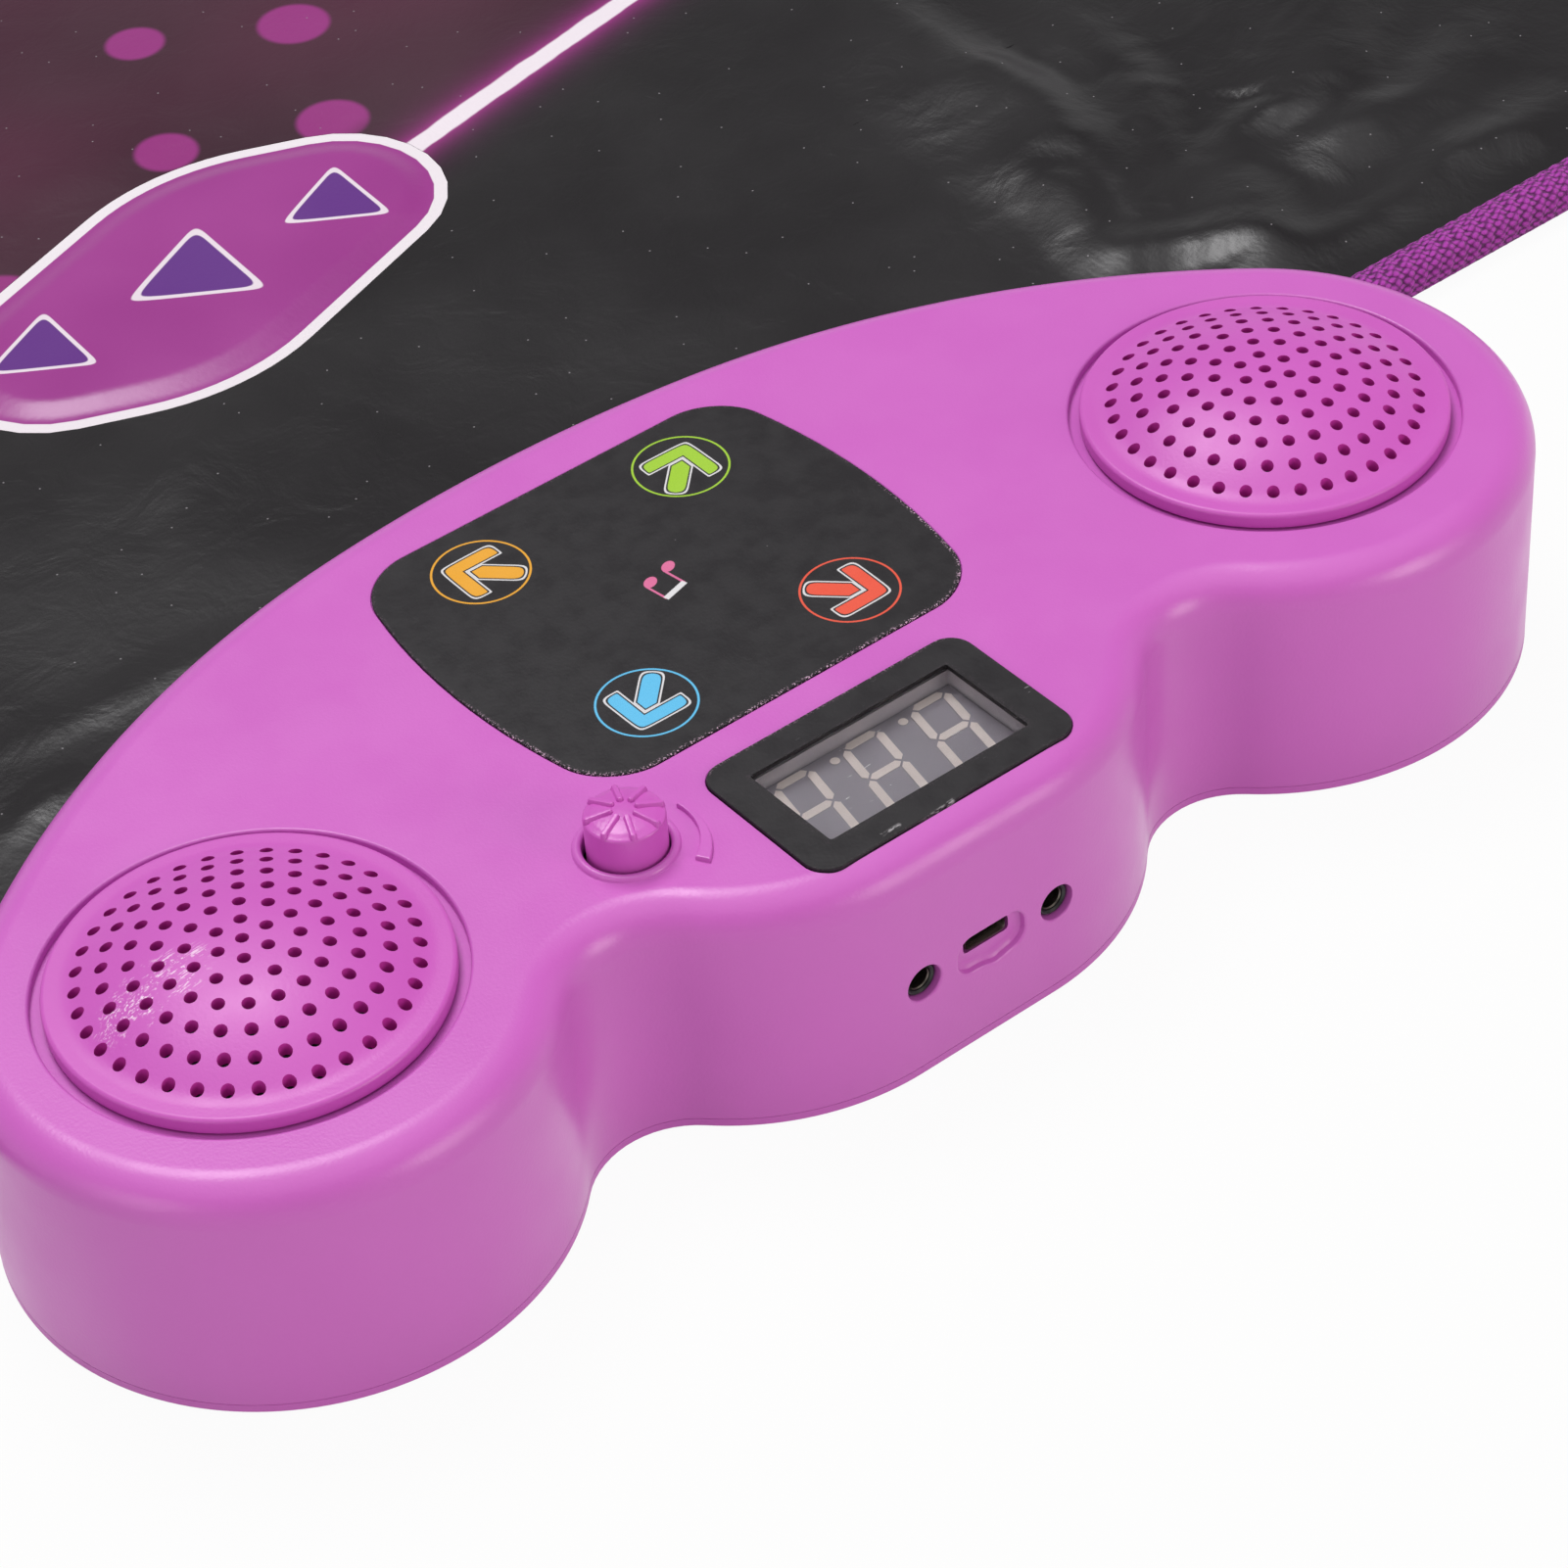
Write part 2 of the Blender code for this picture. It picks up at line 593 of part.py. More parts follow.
def cut_shell(shell, console):
    """Openings in the shell, each from the sizes of what goes in it."""
    seats = [rod_mesh(POCKET_R, TOP - POCKET_DEPTH, TOP + COLLAR_PROUD, 36, (side * SPEAKER_X, 0.0))
             for side in (-1, 1)]
    seats.append(plate_mesh(panel_outline(-GAP), TOP - PANEL_SINK, TOP + COLLAR_PROUD))
    seats.append(plate_mesh(bezel_outline(GAP), TOP - DISPLAY_SINK, TOP + COLLAR_PROUD))
    combine(shell, add_tool("shell_seats", joined(seats), console))

    low = UNDER_TOP - CONSOLE_WALL
    high = TOP + 2 * COLLAR_PROUD
    through = [rod_mesh(SOUND_OPENING_R, low, high, 36, (side * SPEAKER_X, 0.0))
               for side in (-1, 1)]
    through += [rod_mesh(LIGHT_WELL_R, low, high, 16, (x, y)) for x, y in ARROW_SPOTS.values()]
    through.append(span_box((-DIGITS_WIDTH / 2 - GAP, WINDOW_Y - DIGITS_DEPTH / 2 - GAP, low),
                            (DIGITS_WIDTH / 2 + GAP, WINDOW_Y + DIGITS_DEPTH / 2 + GAP, high)))
    through.append(rod_mesh(COLLAR_INNER_R, low, high, 24, (KNOB_X, KNOB_Y)))
    combine(shell, add_tool("shell_openings", joined(through), console))

    sockets = [lying_rod(JACK_BARREL_R + GAP, BACK_DEPTH - 2 * CONSOLE_WALL,
                         BACK_DEPTH + CONSOLE_WALL, SOCKET_X + side * JACK_X, SOCKET_Z, 16)
               for side in (-1, 1)]
    half = USB_BODY[0] / 2 + GAP
    sockets.append(span_box((SOCKET_X - half, BACK_DEPTH - 2 * CONSOLE_WALL,
                             SOCKET_Z - USB_MOUTH[2]),
                            (SOCKET_X + half, BACK_DEPTH + CONSOLE_WALL,
                             SOCKET_Z + USB_MOUTH[2])))
    combine(shell, add_tool("socket_holes", joined(sockets), console))
    half, deep, tall = USB_RECESS[0] / 2, USB_RECESS[1], USB_RECESS[2] / 2
    recess = span_box((SOCKET_X - half, BACK_DEPTH - deep, SOCKET_Z - tall),
                      (SOCKET_X + half, BACK_DEPTH + CONSOLE_WALL, SOCKET_Z + tall))
    combine(shell, add_tool("usb_recess", recess, console))

    notch = span_box((-FAR, -FAR, -FAR), (FAR, RISER_BACK + GAP, STEP_TOP + GAP))
    combine(shell, add_tool("mat_notch", notch, console))

    pilot = [rod_mesh(SCREW_SHANK_R + SLIDE_GAP, -BASE_WALL, SCREW_TIP + GAP, 10, (side * x, y))
             for x, y in SCREW_SPOTS for side in (-1, 1)]
    combine(shell, add_tool("boss_pilots", joined(pilot), console))


def lying_rod(radius, y_low, y_high, x, z, sides):
    """A rod along Y."""
    mesh = rod_mesh(radius, y_low, y_high, sides)
    mesh.transform(Matrix.Translation((x, 0, z)) @ Matrix.Rotation(-pi / 2, 4, "X"))
    return mesh


def make_base(console):
    """The floor of the console: low at the back, and stepped up over the mat at the front."""
    base = add_piece("console_base", plate_mesh(console_outline(), BASE_CLEARANCE, STEP_TOP),
                     "purple_plastic", console, smooth=False)
    over_mat = span_box((-FAR, -FAR, -FAR), (FAR, RISER_FRONT, STEP_UNDER))
    combine(base, add_tool("room_for_mat", over_mat, console))
    inside = span_box((-FAR, RISER_BACK, FLOOR_TOP), (FAR, FAR, FAR))
    combine(base, add_tool("base_inside", inside, console))

    door_low, door_high = door_span()
    frame_low = (door_low[0] - DOOR_FRAME, door_low[1] - DOOR_FRAME, BASE_CLEARANCE)
    frame_high = (door_high[0] + DOOR_FRAME, door_high[1] + DOOR_FRAME, LEDGE_TOP)
    combine(base, add_tool("door_frame", span_box(frame_low, frame_high), console), "UNION")
    bay = span_box((-BAY_WIDTH / 2 - BAY_WALL, BAY_Y - BAY_LENGTH / 2 - BAY_WALL, FLOOR_TOP),
                   (BAY_WIDTH / 2 + BAY_WALL, BAY_Y + BAY_LENGTH / 2 + BAY_WALL,
                    BAY_TOP + BAY_WALL))
    combine(base, add_tool("bay_block", bay, console), "UNION")
    screw_y = door_screw_y()
    pads = [rod_mesh(SCREW_PAD_R, BASE_CLEARANCE, FLOOR_TOP + SCREW_PAD_T, 16, (side * x, y))
            for x, y in SCREW_SPOTS for side in (-1, 1)]
    pads.append(rod_mesh(BOSS_R + SLIDE_GAP, FLOOR_TOP, DOOR_SCREW_TIP + 4 * GAP, 12,
                         (0.0, screw_y)))
    pads += [rod_mesh(POST_R, BASE_CLEARANCE + GAP, MAIN_UNDER - GAP, 10, spot)
             for spot in MAIN_POSTS]
    pads += [rod_mesh(PEG_R, BASE_SHEET_T, STEP_TOP - BASE_WALL / 2, 12, (side * PEG_X, PEG_Y))
             for side in (-1, 1)]
    combine(base, add_tool("base_bosses", joined(pads), console), "UNION")
    pins = [rod_mesh(PIN_R, MAIN_UNDER - 2 * POST_R, MAIN_UNDER + MAIN_BOARD_T + PIN_REACH, 8, spot)
            for spot in MAIN_POSTS]
    combine(base, add_tool("base_pins", joined(pins), console), "UNION")

    room = span_box((-BAY_WIDTH / 2, BAY_Y - BAY_LENGTH / 2, -FAR),
                    (BAY_WIDTH / 2, BAY_Y + BAY_LENGTH / 2, BAY_TOP))
    combine(base, add_tool("bay_room", room, console))
    seat = span_box((door_low[0] - SLIDE_GAP, door_low[1] - SLIDE_GAP, -FAR),
                    (door_high[0] + SLIDE_GAP, door_high[1] + SLIDE_GAP, FLOOR_TOP + GAP))
    combine(base, add_tool("door_seat", seat, console))
    slots = [span_box((x - DOOR_TAB_WIDTH / 2 - SLIDE_GAP,
                       door_low[1] - DOOR_TAB_REACH - SLIDE_GAP, BASE_CLEARANCE + DOOR_LIP_T),
                      (x + DOOR_TAB_WIDTH / 2 + SLIDE_GAP, door_low[1] + DOOR_TAB_SWING,
                       LEDGE_TOP + BASE_WALL))
             for x in (-DOOR_TAB_X, DOOR_TAB_X)]
    combine(base, add_tool("tab_slots", joined(slots), console))
    holes = [rod_mesh(FOOT_R + GAP, -BASE_WALL, BASE_CLEARANCE + FOOT_SEAT, 20, (x, y))
             for x, y in FOOT_SPOTS]
    holes += [rod_mesh(SCREW_HEAD_R + GAP, -BASE_WALL, SCREW_HEAD_Z + SCREW_HEAD_T + GAP, 14,
                       (side * x, y)) for x, y in SCREW_SPOTS for side in (-1, 1)]
    combine(base, add_tool("foot_seats", joined(holes), console))
    shanks = [rod_mesh(SCREW_SHANK_R + GAP, 0.0, FLOOR_TOP + 2 * SCREW_PAD_T, 10, (side * x, y))
              for x, y in SCREW_SPOTS for side in (-1, 1)]
    shanks.append(rod_mesh(SCREW_SHANK_R + 2 * SLIDE_GAP, 0.0, DOOR_SCREW_TIP + 2 * GAP, 10,
                           (0.0, screw_y)))
    combine(base, add_tool("shank_holes", joined(shanks), console))
    tail = span_box((RIBBON_X - RIBBON_WIDTH / 2 - GAP, RISER_FRONT - BASE_WALL,
                     RIBBON_Z - RIBBON_T / 2 - GAP),
                    (RIBBON_X + RIBBON_WIDTH / 2 + GAP, RISER_BACK + BASE_WALL,
                     RIBBON_Z + RIBBON_T / 2 + GAP))
    combine(base, add_tool("ribbon_slot", tail, console))
    return base


def make_feet(console):
    for number, (x, y) in enumerate(FOOT_SPOTS, start=1):
        height = BASE_CLEARANCE + FOOT_SEAT - GAP
        add_piece(f"rubber_foot_{number}",
                  rod_mesh(FOOT_R, BASE_CLEARANCE - FOOT_PROUD, height, 20),
                  "rubber", console, (x, y, 0.0))


def make_screw(name, parent, location, head_z, tip_z):
    """A pan head with a plain shank, seen from below."""
    edge = SCREW_HEAD_T / 4
    profile = [(0.0, tip_z), (SCREW_SHANK_R, tip_z), (SCREW_SHANK_R, head_z + SCREW_HEAD_T),
               (SCREW_HEAD_R, head_z + SCREW_HEAD_T), (SCREW_HEAD_R, head_z + edge),
               (SCREW_HEAD_R - edge, head_z), (0.0, head_z)]
    return spin(add_piece(name, turned_mesh(profile), "steel", parent, location, smooth=False), 14)


def make_housing_screws(console):
    number = 0
    for x, y in SCREW_SPOTS:
        for side in (-1, 1):
            number += 1
            make_screw(f"housing_screw_{number}", console, (side * x, y, 0.0),
                       SCREW_HEAD_Z, SCREW_TIP)


# Speakers

def make_grille(side, console):
    """A perforated dome on a flat flange."""
    bm = bmesh.new()
    rim = add_loop(bm, circle(DOME_R, sides=36), 0.0)
    edges = list(rim)
    edges += add_loop(bm, circle(HOLE_R, sides=HOLE_SIDES), 0.0)
    for ring in range(1, HOLE_RINGS + 1):
        for i in range(6 * ring):
            angle = 2 * pi * i / (6 * ring)
            center = (ring * HOLE_PITCH * cos(angle), ring * HOLE_PITCH * sin(angle))
            edges += add_loop(bm, circle(HOLE_R, center, HOLE_SIDES, angle), 0.0)
    bmesh.ops.triangle_fill(bm, edges=edges, use_beauty=True)
    flange = bmesh.ops.extrude_edge_only(bm, edges=rim)
    outer = [v for v in flange["geom"] if isinstance(v, bmesh.types.BMVert)]
    bmesh.ops.scale(bm, vec=(GRILLE_R / DOME_R, GRILLE_R / DOME_R, 1.0), verts=outer)
    bmesh.ops.recalc_face_normals(bm, faces=bm.faces[:])
    walls = bmesh.ops.extrude_face_region(bm, geom=bm.faces[:])
    raised = [v for v in walls["geom"] if isinstance(v, bmesh.types.BMVert)]
    bmesh.ops.translate(bm, verts=raised, vec=(0, 0, GRILLE_T))
    ball_r = (DOME_R ** 2 + DOME_RISE ** 2) / (2 * DOME_RISE)
    for vert in bm.verts:
        radius = hypot(vert.co.x, vert.co.y)
        if radius < DOME_R - GAP:
            vert.co.z += sqrt(ball_r ** 2 - radius ** 2) - (ball_r - DOME_RISE)
    name = "speaker_grille_" + ("left" if side < 0 else "right")
    seat = TOP - POCKET_DEPTH + GAP
    add_piece(name, make_mesh(bm), "purple_plastic", console, (side * SPEAKER_X, 0.0, seat))


def make_speaker(side, console):
    """A basket with its magnet, and the paper cone that moves in it."""
    label = "left" if side < 0 else "right"
    top = UNDER_TOP - GAP
    rim_r = CONE_R + SLIDE_GAP
    rim_depth = 3 * CONE_TRAVEL + 2 * CONE_T
    floor = top - rim_depth - CONE_DEPTH - CONE_TRAVEL - 2 * GAP
    neck = CONE_NECK_R + 3 * SLIDE_GAP
    frame = [(0.0, floor), (neck, floor), (rim_r, top - rim_depth), (rim_r, top), (FRAME_R, top),
             (FRAME_R, top - FRAME_T), (rim_r + FRAME_T, top - rim_depth - FRAME_T),
             (MAGNET_R, floor - FRAME_T), (MAGNET_R, floor - FRAME_T - MAGNET_T),
             (0.0, floor - FRAME_T - MAGNET_T)]
    place = (side * SPEAKER_X, 0.0, 0.0)
    spin(add_piece(f"speaker_frame_{label}", turned_mesh(frame), "grey_plastic", console, place,
                   smooth=False), 20)
    high = top - CONE_TRAVEL
    low = high - CONE_DEPTH
    cap_r = CONE_NECK_R * 0.9
    cone = [(0.0, low + 4 * CONE_T), (cap_r * 0.6, low + 3 * CONE_T), (cap_r, low + CONE_T),
            (CONE_R - 3 * CONE_T, high), (CONE_R, high), (CONE_R, high - CONE_T),
            (CONE_R - 3 * CONE_T, high - CONE_T), (CONE_NECK_R, low), (0.0, low)]
    spin(add_piece(f"speaker_cone_{label}", turned_mesh(cone), "paper_cone", console, place,
                   smooth=False), 20)


# Arrow panel, lights and display

def panel_outline(inset=0.0):
    return bowed_rectangle(PANEL_HALF_X, PANEL_HALF_Y, PANEL_CORNER_R, PANEL_BULGE,
                           (0.0, PANEL_Y), inset)


def bezel_outline(grow=0.0):
    return rounded_rectangle(WINDOW_WIDTH / 2 + BEZEL_SIDE + grow,
                             WINDOW_DEPTH / 2 + BEZEL_BORDER + grow,
                             BEZEL_CORNER_R + grow, (0.0, WINDOW_Y))


def window_outline(grow=0.0):
    return rounded_rectangle(WINDOW_WIDTH / 2 + grow, WINDOW_DEPTH / 2 + grow,
                             BEZEL_CORNER_R / 8 + abs(grow) / 4, (0.0, WINDOW_Y), 2)


def make_panel_and_display(console):
    low = TOP - PANEL_SINK + GAP
    add_piece("arrow_panel", plate_mesh(panel_outline(), low, low + PANEL_T), "black_film",
              console, smooth=False)
    bezel_low = TOP + BEZEL_PROUD - BEZEL_T
    add_piece("display_bezel",
              plate_mesh(bezel_outline(), bezel_low, bezel_low + BEZEL_T, [window_outline()]),
              "black_plastic", console, smooth=False)
    glass_high = bezel_low - GAP
    add_piece("display_window",
              plate_mesh(window_outline(GLASS_BORDER), glass_high - GLASS_T, glass_high),
              "clear_plastic", console, smooth=False)
    add_piece("digit_display",
              box_mesh((DIGITS_WIDTH, DIGITS_DEPTH, DIGITS_HEIGHT),
                       (0.0, WINDOW_Y, DISPLAY_TOP - DIGITS_HEIGHT / 2)),
              "grey_plastic", console, smooth=False)


def make_lights(console):
    height = UNDER_TOP - GAP
    low = CONTROL_TOP + GAP
    for color, (x, y) in ARROW_SPOTS.items():
        dome = [(LED_R * sin(pi / 2 * i / 3), height - LED_R + LED_R * cos(pi / 2 * i / 3))
                for i in range(4)]
        dome[0] = (0.0, height)
        profile = dome + [(LED_R, low + LED_FLANGE_T), (LED_FLANGE_R, low + LED_FLANGE_T),
                          (LED_FLANGE_R, low), (0.0, low)]
        spin(add_piece(f"arrow_light_{color}", turned_mesh(profile), f"led_{color}", console,
                       (x, y, 0.0), smooth=False), 12)


# Circuit boards

def board_outline(half_x, front_y, back_y):
    """A wide board with a tongue that reaches to the back wall of the middle lobe."""
    tongue = BACK_DEPTH - CONSOLE_WALL - BOARD_EDGE - 4 * BOARD_EDGE
    return [(-half_x, front_y), (half_x, front_y), (half_x, back_y), (TONGUE_HALF_X, back_y),
            (TONGUE_HALF_X, tongue), (-TONGUE_HALF_X, tongue), (-TONGUE_HALF_X, back_y),
            (-half_x, back_y)]


def control_outline():
    """The upper board also reaches under the volume knob."""
    outline = board_outline(CONTROL_HALF_X, CONTROL_FRONT_Y, CONTROL_BACK_Y)
    pot_x = KNOB_X + POT_R
    pot_y = KNOB_Y + POT_R
    return outline[:2] + [(CONTROL_HALF_X, CONTROL_BACK_Y), (pot_x, CONTROL_BACK_Y),
                          (pot_x, pot_y), (TONGUE_HALF_X, pot_y)] + outline[4:]


def make_boards(console):
    holes = [circle(PIN_R + GAP, spot, 10) for spot in CONTROL_POSTS]
    add_piece("control_board",
              plate_mesh(control_outline(), CONTROL_TOP - CONTROL_BOARD_T, CONTROL_TOP, holes),
              "board_green", console, smooth=False)
    holes = [circle(PIN_R + GAP, spot, 10) for spot in MAIN_POSTS]
    add_piece("main_board",
              plate_mesh(board_outline(MAIN_HALF_X, MAIN_FRONT_Y, MAIN_BACK_Y), MAIN_UNDER,
                         MAIN_UNDER + MAIN_BOARD_T, holes),
              "board_green", console, smooth=False)


def make_sockets(console):
    inner = BACK_DEPTH - CONSOLE_WALL - JACK_SETBACK
    width, depth, height = JACK_BODY
    for side, label in ((-1, "left"), (1, "right")):
        x = SOCKET_X + side * JACK_X
        body = span_box((x - width / 2, inner - depth, SOCKET_Z - height / 2),
                        (x + width / 2, inner, SOCKET_Z + height / 2))
        jack = add_piece(f"audio_jack_{label}", body, "black_plastic", console, smooth=False)
        barrel = lying_rod(JACK_BARREL_R, inner - GAP, BACK_DEPTH - GAP, x, SOCKET_Z, 16)
        combine(jack, add_tool(f"jack_barrel_{label}", barrel, console), "UNION")
        bore = lying_rod(JACK_BORE_R, inner - depth * 0.8, BACK_DEPTH + GAP, x, SOCKET_Z, 12)
        combine(jack, add_tool(f"jack_bore_{label}", bore, console))
    width, depth, height = USB_BODY
    low = SOCKET_Z - height / 2 + GAP
    face = BACK_DEPTH - USB_RECESS[1] - GAP
    left, right = SOCKET_X - width / 2, SOCKET_X + width / 2
    block = span_box((left, face - depth, low), (right, face, SOCKET_Z + USB_MOUTH[2] - GAP))
    usb = add_piece("usb_socket", block, "steel", console, smooth=False)
    foot = span_box((left, face - depth, SOCKET_Z), (right, inner - GAP, MAIN_UNDER - GAP))
    combine(usb, add_tool("usb_foot", foot, console), "UNION")
    half = USB_MOUTH[0] / 2
    mouth = span_box((SOCKET_X - half, face - USB_MOUTH[1], SOCKET_Z - USB_MOUTH[2] / 2),
                     (SOCKET_X + half, face + CONSOLE_WALL, SOCKET_Z + USB_MOUTH[2] / 2))
    combine(usb, add_tool("usb_mouth", mouth, console))


def make_ribbon(console):
    """The mat's flat cable: out of the mat's core, through the riser and up to the board."""
    start_y = -TUCK - BINDING_WEB
    plug_y = RISER_BACK + PLUG_DEPTH + 2 * RIBBON_BEND_R
    bend = arc_points((plug_y - RIBBON_BEND_R, RIBBON_Z + RIBBON_BEND_R), RIBBON_BEND_R,
                      -pi / 2, 0.0, 5)
    plug_low = MAIN_UNDER - GAP - PLUG_HEIGHT
    path = [(start_y, RIBBON_Z)] + bend + [(plug_y, plug_low - GAP)]
    bm = bmesh.new()
    verts = [bm.verts.new((RIBBON_X - RIBBON_WIDTH / 2, y, z)) for y, z in path]
    edges = [bm.edges.new(pair) for pair in zip(verts, verts[1:])]
    swept = bmesh.ops.extrude_edge_only(bm, edges=edges)
    moved = [v for v in swept["geom"] if isinstance(v, bmesh.types.BMVert)]
    bmesh.ops.translate(bm, verts=moved, vec=(RIBBON_WIDTH, 0, 0))
    ribbon = add_piece("mat_ribbon", make_mesh(bm), "white_plastic", console, smooth=False)
    film = ribbon.modifiers.new("thickness", "SOLIDIFY")
    film.thickness = RIBBON_T
    film.offset = 0.0
    half = RIBBON_WIDTH / 2 + 2 * RIBBON_T
    add_piece("ribbon_connector",
              span_box((RIBBON_X - half, plug_y - PLUG_DEPTH / 2, plug_low),
                       (RIBBON_X + half, plug_y + PLUG_DEPTH / 2, plug_low + PLUG_HEIGHT)),
              "white_plastic", console, smooth=False)


# Volume control

def make_volume(console):
    axis = add_frame("volume_axis", (KNOB_X, KNOB_Y, 0.0))
    axis.parent = console
    top = TOP + KNOB_PROUD
    low = TOP - KNOB_SKIRT
    profile = [(0.0, top), (KNOB_R - KNOB_EDGE, top), (KNOB_R, top - KNOB_EDGE), (KNOB_R, low),
               (KNOB_R - KNOB_EDGE, low), (0.0, low)]
    knob = spin(add_piece("volume_knob", turned_mesh(profile), "purple_plastic", axis,
                          smooth=False), 28)
    star = []
    for i in range(KNOB_RIBS):
        angle = 2 * pi * i / KNOB_RIBS
        half = KNOB_RIB_WIDTH / 2
        reach = KNOB_R - 2 * KNOB_EDGE
        for r, offset in ((KNOB_BOSS_R, -half), (reach, -half), (reach, half), (KNOB_BOSS_R, half)):
            star.append((r * cos(angle) - offset * sin(angle), r * sin(angle) + offset * cos(angle)))
    ribs = plate_mesh(star, top - KNOB_EDGE, top + KNOB_RIB_HEIGHT)
    combine(knob, add_tool("knob_ribs", ribs, axis), "UNION")
    socket = rod_mesh(SHAFT_R + GAP, low - KNOB_EDGE, low + SHAFT_IN_KNOB + GAP, 16)
    combine(knob, add_tool("knob_socket", socket, axis))

    pot_low = CONTROL_TOP + GAP
    pot_top = pot_low + POT_HEIGHT
    shaft_low = pot_low + POT_HEIGHT / 3
    add_piece("volume_shaft", rod_mesh(SHAFT_R, shaft_low, low + SHAFT_IN_KNOB, 16), "steel", axis)
    pot = add_piece("volume_pot", rod_mesh(POT_R, pot_low, pot_top, 20), "steel", axis)
    bore = rod_mesh(SHAFT_R + GAP, shaft_low - GAP, pot_top + POT_HEIGHT, 16)
    combine(pot, add_tool("pot_bore", bore, axis))


# Batteries and their door

def door_span():
    """Lower and upper corner of the door, in plan."""
    half_x = BAY_WIDTH / 2 + DOOR_LEDGE
    return ((-half_x, BAY_Y - BAY_LENGTH / 2 - DOOR_LEDGE),
            (half_x, BAY_Y + BAY_LENGTH / 2 + DOOR_SCREW_END + DOOR_LEDGE))


def door_screw_y():
    return BAY_Y + BAY_LENGTH / 2 + BAY_WALL + (DOOR_SCREW_END + DOOR_LEDGE - BAY_WALL) / 2


def make_batteries(console):
    start = BAY_Y - BAY_LENGTH / 2 + CONTACT_T + 2 * GAP
    profile = [(0.0, CELL_LENGTH + CELL_TIP), (CELL_TIP_R, CELL_LENGTH + CELL_TIP),
               (CELL_TIP_R, CELL_LENGTH), (CELL_R, CELL_LENGTH), (CELL_R, 0.0), (0.0, 0.0)]
    pitch = BAY_WIDTH / CELL_COUNT
    for i in range(CELL_COUNT):
        x = (i - (CELL_COUNT - 1) / 2) * pitch
        cell = spin(add_piece(f"battery_cell_{i + 1}", turned_mesh(profile), "cell_wrap", console,
                              (x, start, FLOOR_TOP + GAP + CELL_R), smooth=False), 18)
        cell.rotation_euler = (-pi / 2, 0.0, 0.0)
    half_x = BAY_WIDTH / 2 - GAP
    low_z = FLOOR_TOP + 2 * GAP
    for label, y in (("front", BAY_Y - BAY_LENGTH / 2 + GAP),
                     ("back", BAY_Y + BAY_LENGTH / 2 - GAP - CONTACT_T)):
        add_piece(f"battery_contact_{label}",
                  span_box((-half_x, y, low_z), (half_x, y + CONTACT_T, BAY_TOP - GAP)), "steel",
                  console, smooth=False)


def make_door(console):
    """A flat door that tilts out on two tabs, with the screw that holds its other end."""
    low, high = door_span()
    hinge = add_frame("battery_door_axis", (0.0, low[1], BASE_CLEARANCE))
    hinge.parent = console
    depth = high[1] - low[1]
    door = add_piece("battery_door",
                     span_box((low[0], 0.0, 0.0), (high[0], depth, BASE_WALL)),
                     "purple_plastic", hinge, smooth=False)
    tabs = [span_box((x - DOOR_TAB_WIDTH / 2, -DOOR_TAB_REACH, BASE_WALL - DOOR_TAB_T),
                     (x + DOOR_TAB_WIDTH / 2, DOOR_TAB_REACH, BASE_WALL))
            for x in (-DOOR_TAB_X, DOOR_TAB_X)]
    combine(door, add_tool("door_tabs", joined(tabs), hinge), "UNION")
    screw_y = door_screw_y() - low[1]
    head_top = DOOR_SCREW_HEAD_Z - BASE_CLEARANCE + SCREW_HEAD_T
    sink = rod_mesh(SCREW_HEAD_R + GAP, -BASE_WALL, head_top - SCREW_HEAD_T / 2 + GAP, 14,
                    (0.0, screw_y))
    combine(door, add_tool("door_sink", sink, hinge))
    hole = rod_mesh(SCREW_SHANK_R + GAP, -BASE_WALL, 2 * BASE_WALL, 10, (0.0, screw_y))
    combine(door, add_tool("door_hole", hole, hinge))
    edge = SCREW_HEAD_T / 4
    head_z = DOOR_SCREW_HEAD_Z - BASE_CLEARANCE
    head_t = SCREW_HEAD_T / 2
    tip = DOOR_SCREW_TIP - BASE_CLEARANCE
    profile = [(0.0, tip), (SCREW_SHANK_R, tip), (SCREW_SHANK_R, head_z + head_t),
               (SCREW_HEAD_R, head_z + head_t), (SCREW_HEAD_R, head_z + edge),
               (SCREW_HEAD_R - edge, head_z), (0.0, head_z)]
    spin(add_piece("battery_door_screw", turned_mesh(profile), "steel", hinge, (0.0, screw_y, 0.0),
                   smooth=False), 14)


# Mat

def panel_span(panel):
    """Back and front edge of a panel, where it meets the fold or the mat's own edge."""
    half = FOLD_GAP / 2
    return {"a": (MAT_BACK, FOLD_1 + half), "b": (FOLD_1 - half, FOLD_2 + half),
            "c": (FOLD_2 - half, MAT_FRONT)}[panel]


def mat_outline(panel, inset):
    """A panel's outline, drawn in from the mat's own edges but not from its folds."""
    back, front = panel_span(panel)
    half = MAT_WIDTH / 2 - inset
    radius = MAT_CORNER_R - inset
    points = []
    if panel == "a":
        points += arc_points((half - radius, back - inset - radius), radius, 0.0, pi / 2, 5)
        points += arc_points((-half + radius, back - inset - radius), radius, pi / 2, pi, 5)
    else:
        points += [(half, back), (-half, back)]
    if panel == "c":
        points += arc_points((-half + radius, front + inset + radius), radius, pi, 1.5 * pi, 5)
        points += arc_points((half - radius, front + inset + radius), radius, 1.5 * pi, 2 * pi, 5)
    else:
        points += [(-half, front), (half, front)]
    return points


def pad_outlines(panel, grow=0.0):
    """Outlines of the step pads on one panel, by name."""
    if panel == "a":
        return {"start": start_pad_outline(grow)}
    back, front = panel_span(panel)
    names = ("red", "blue") if panel == "b" else ("green", "yellow")
    return {name: rounded_rectangle(PAD_WIDTH / 2 + grow, PAD_HEIGHT / 2 + grow,
                                    PAD_CORNER_R + grow,
                                    (side * (MAT_WIDTH / 2 - PAD_FROM_EDGE), (back + front) / 2))
            for name, side in zip(names, (-1, 1))}


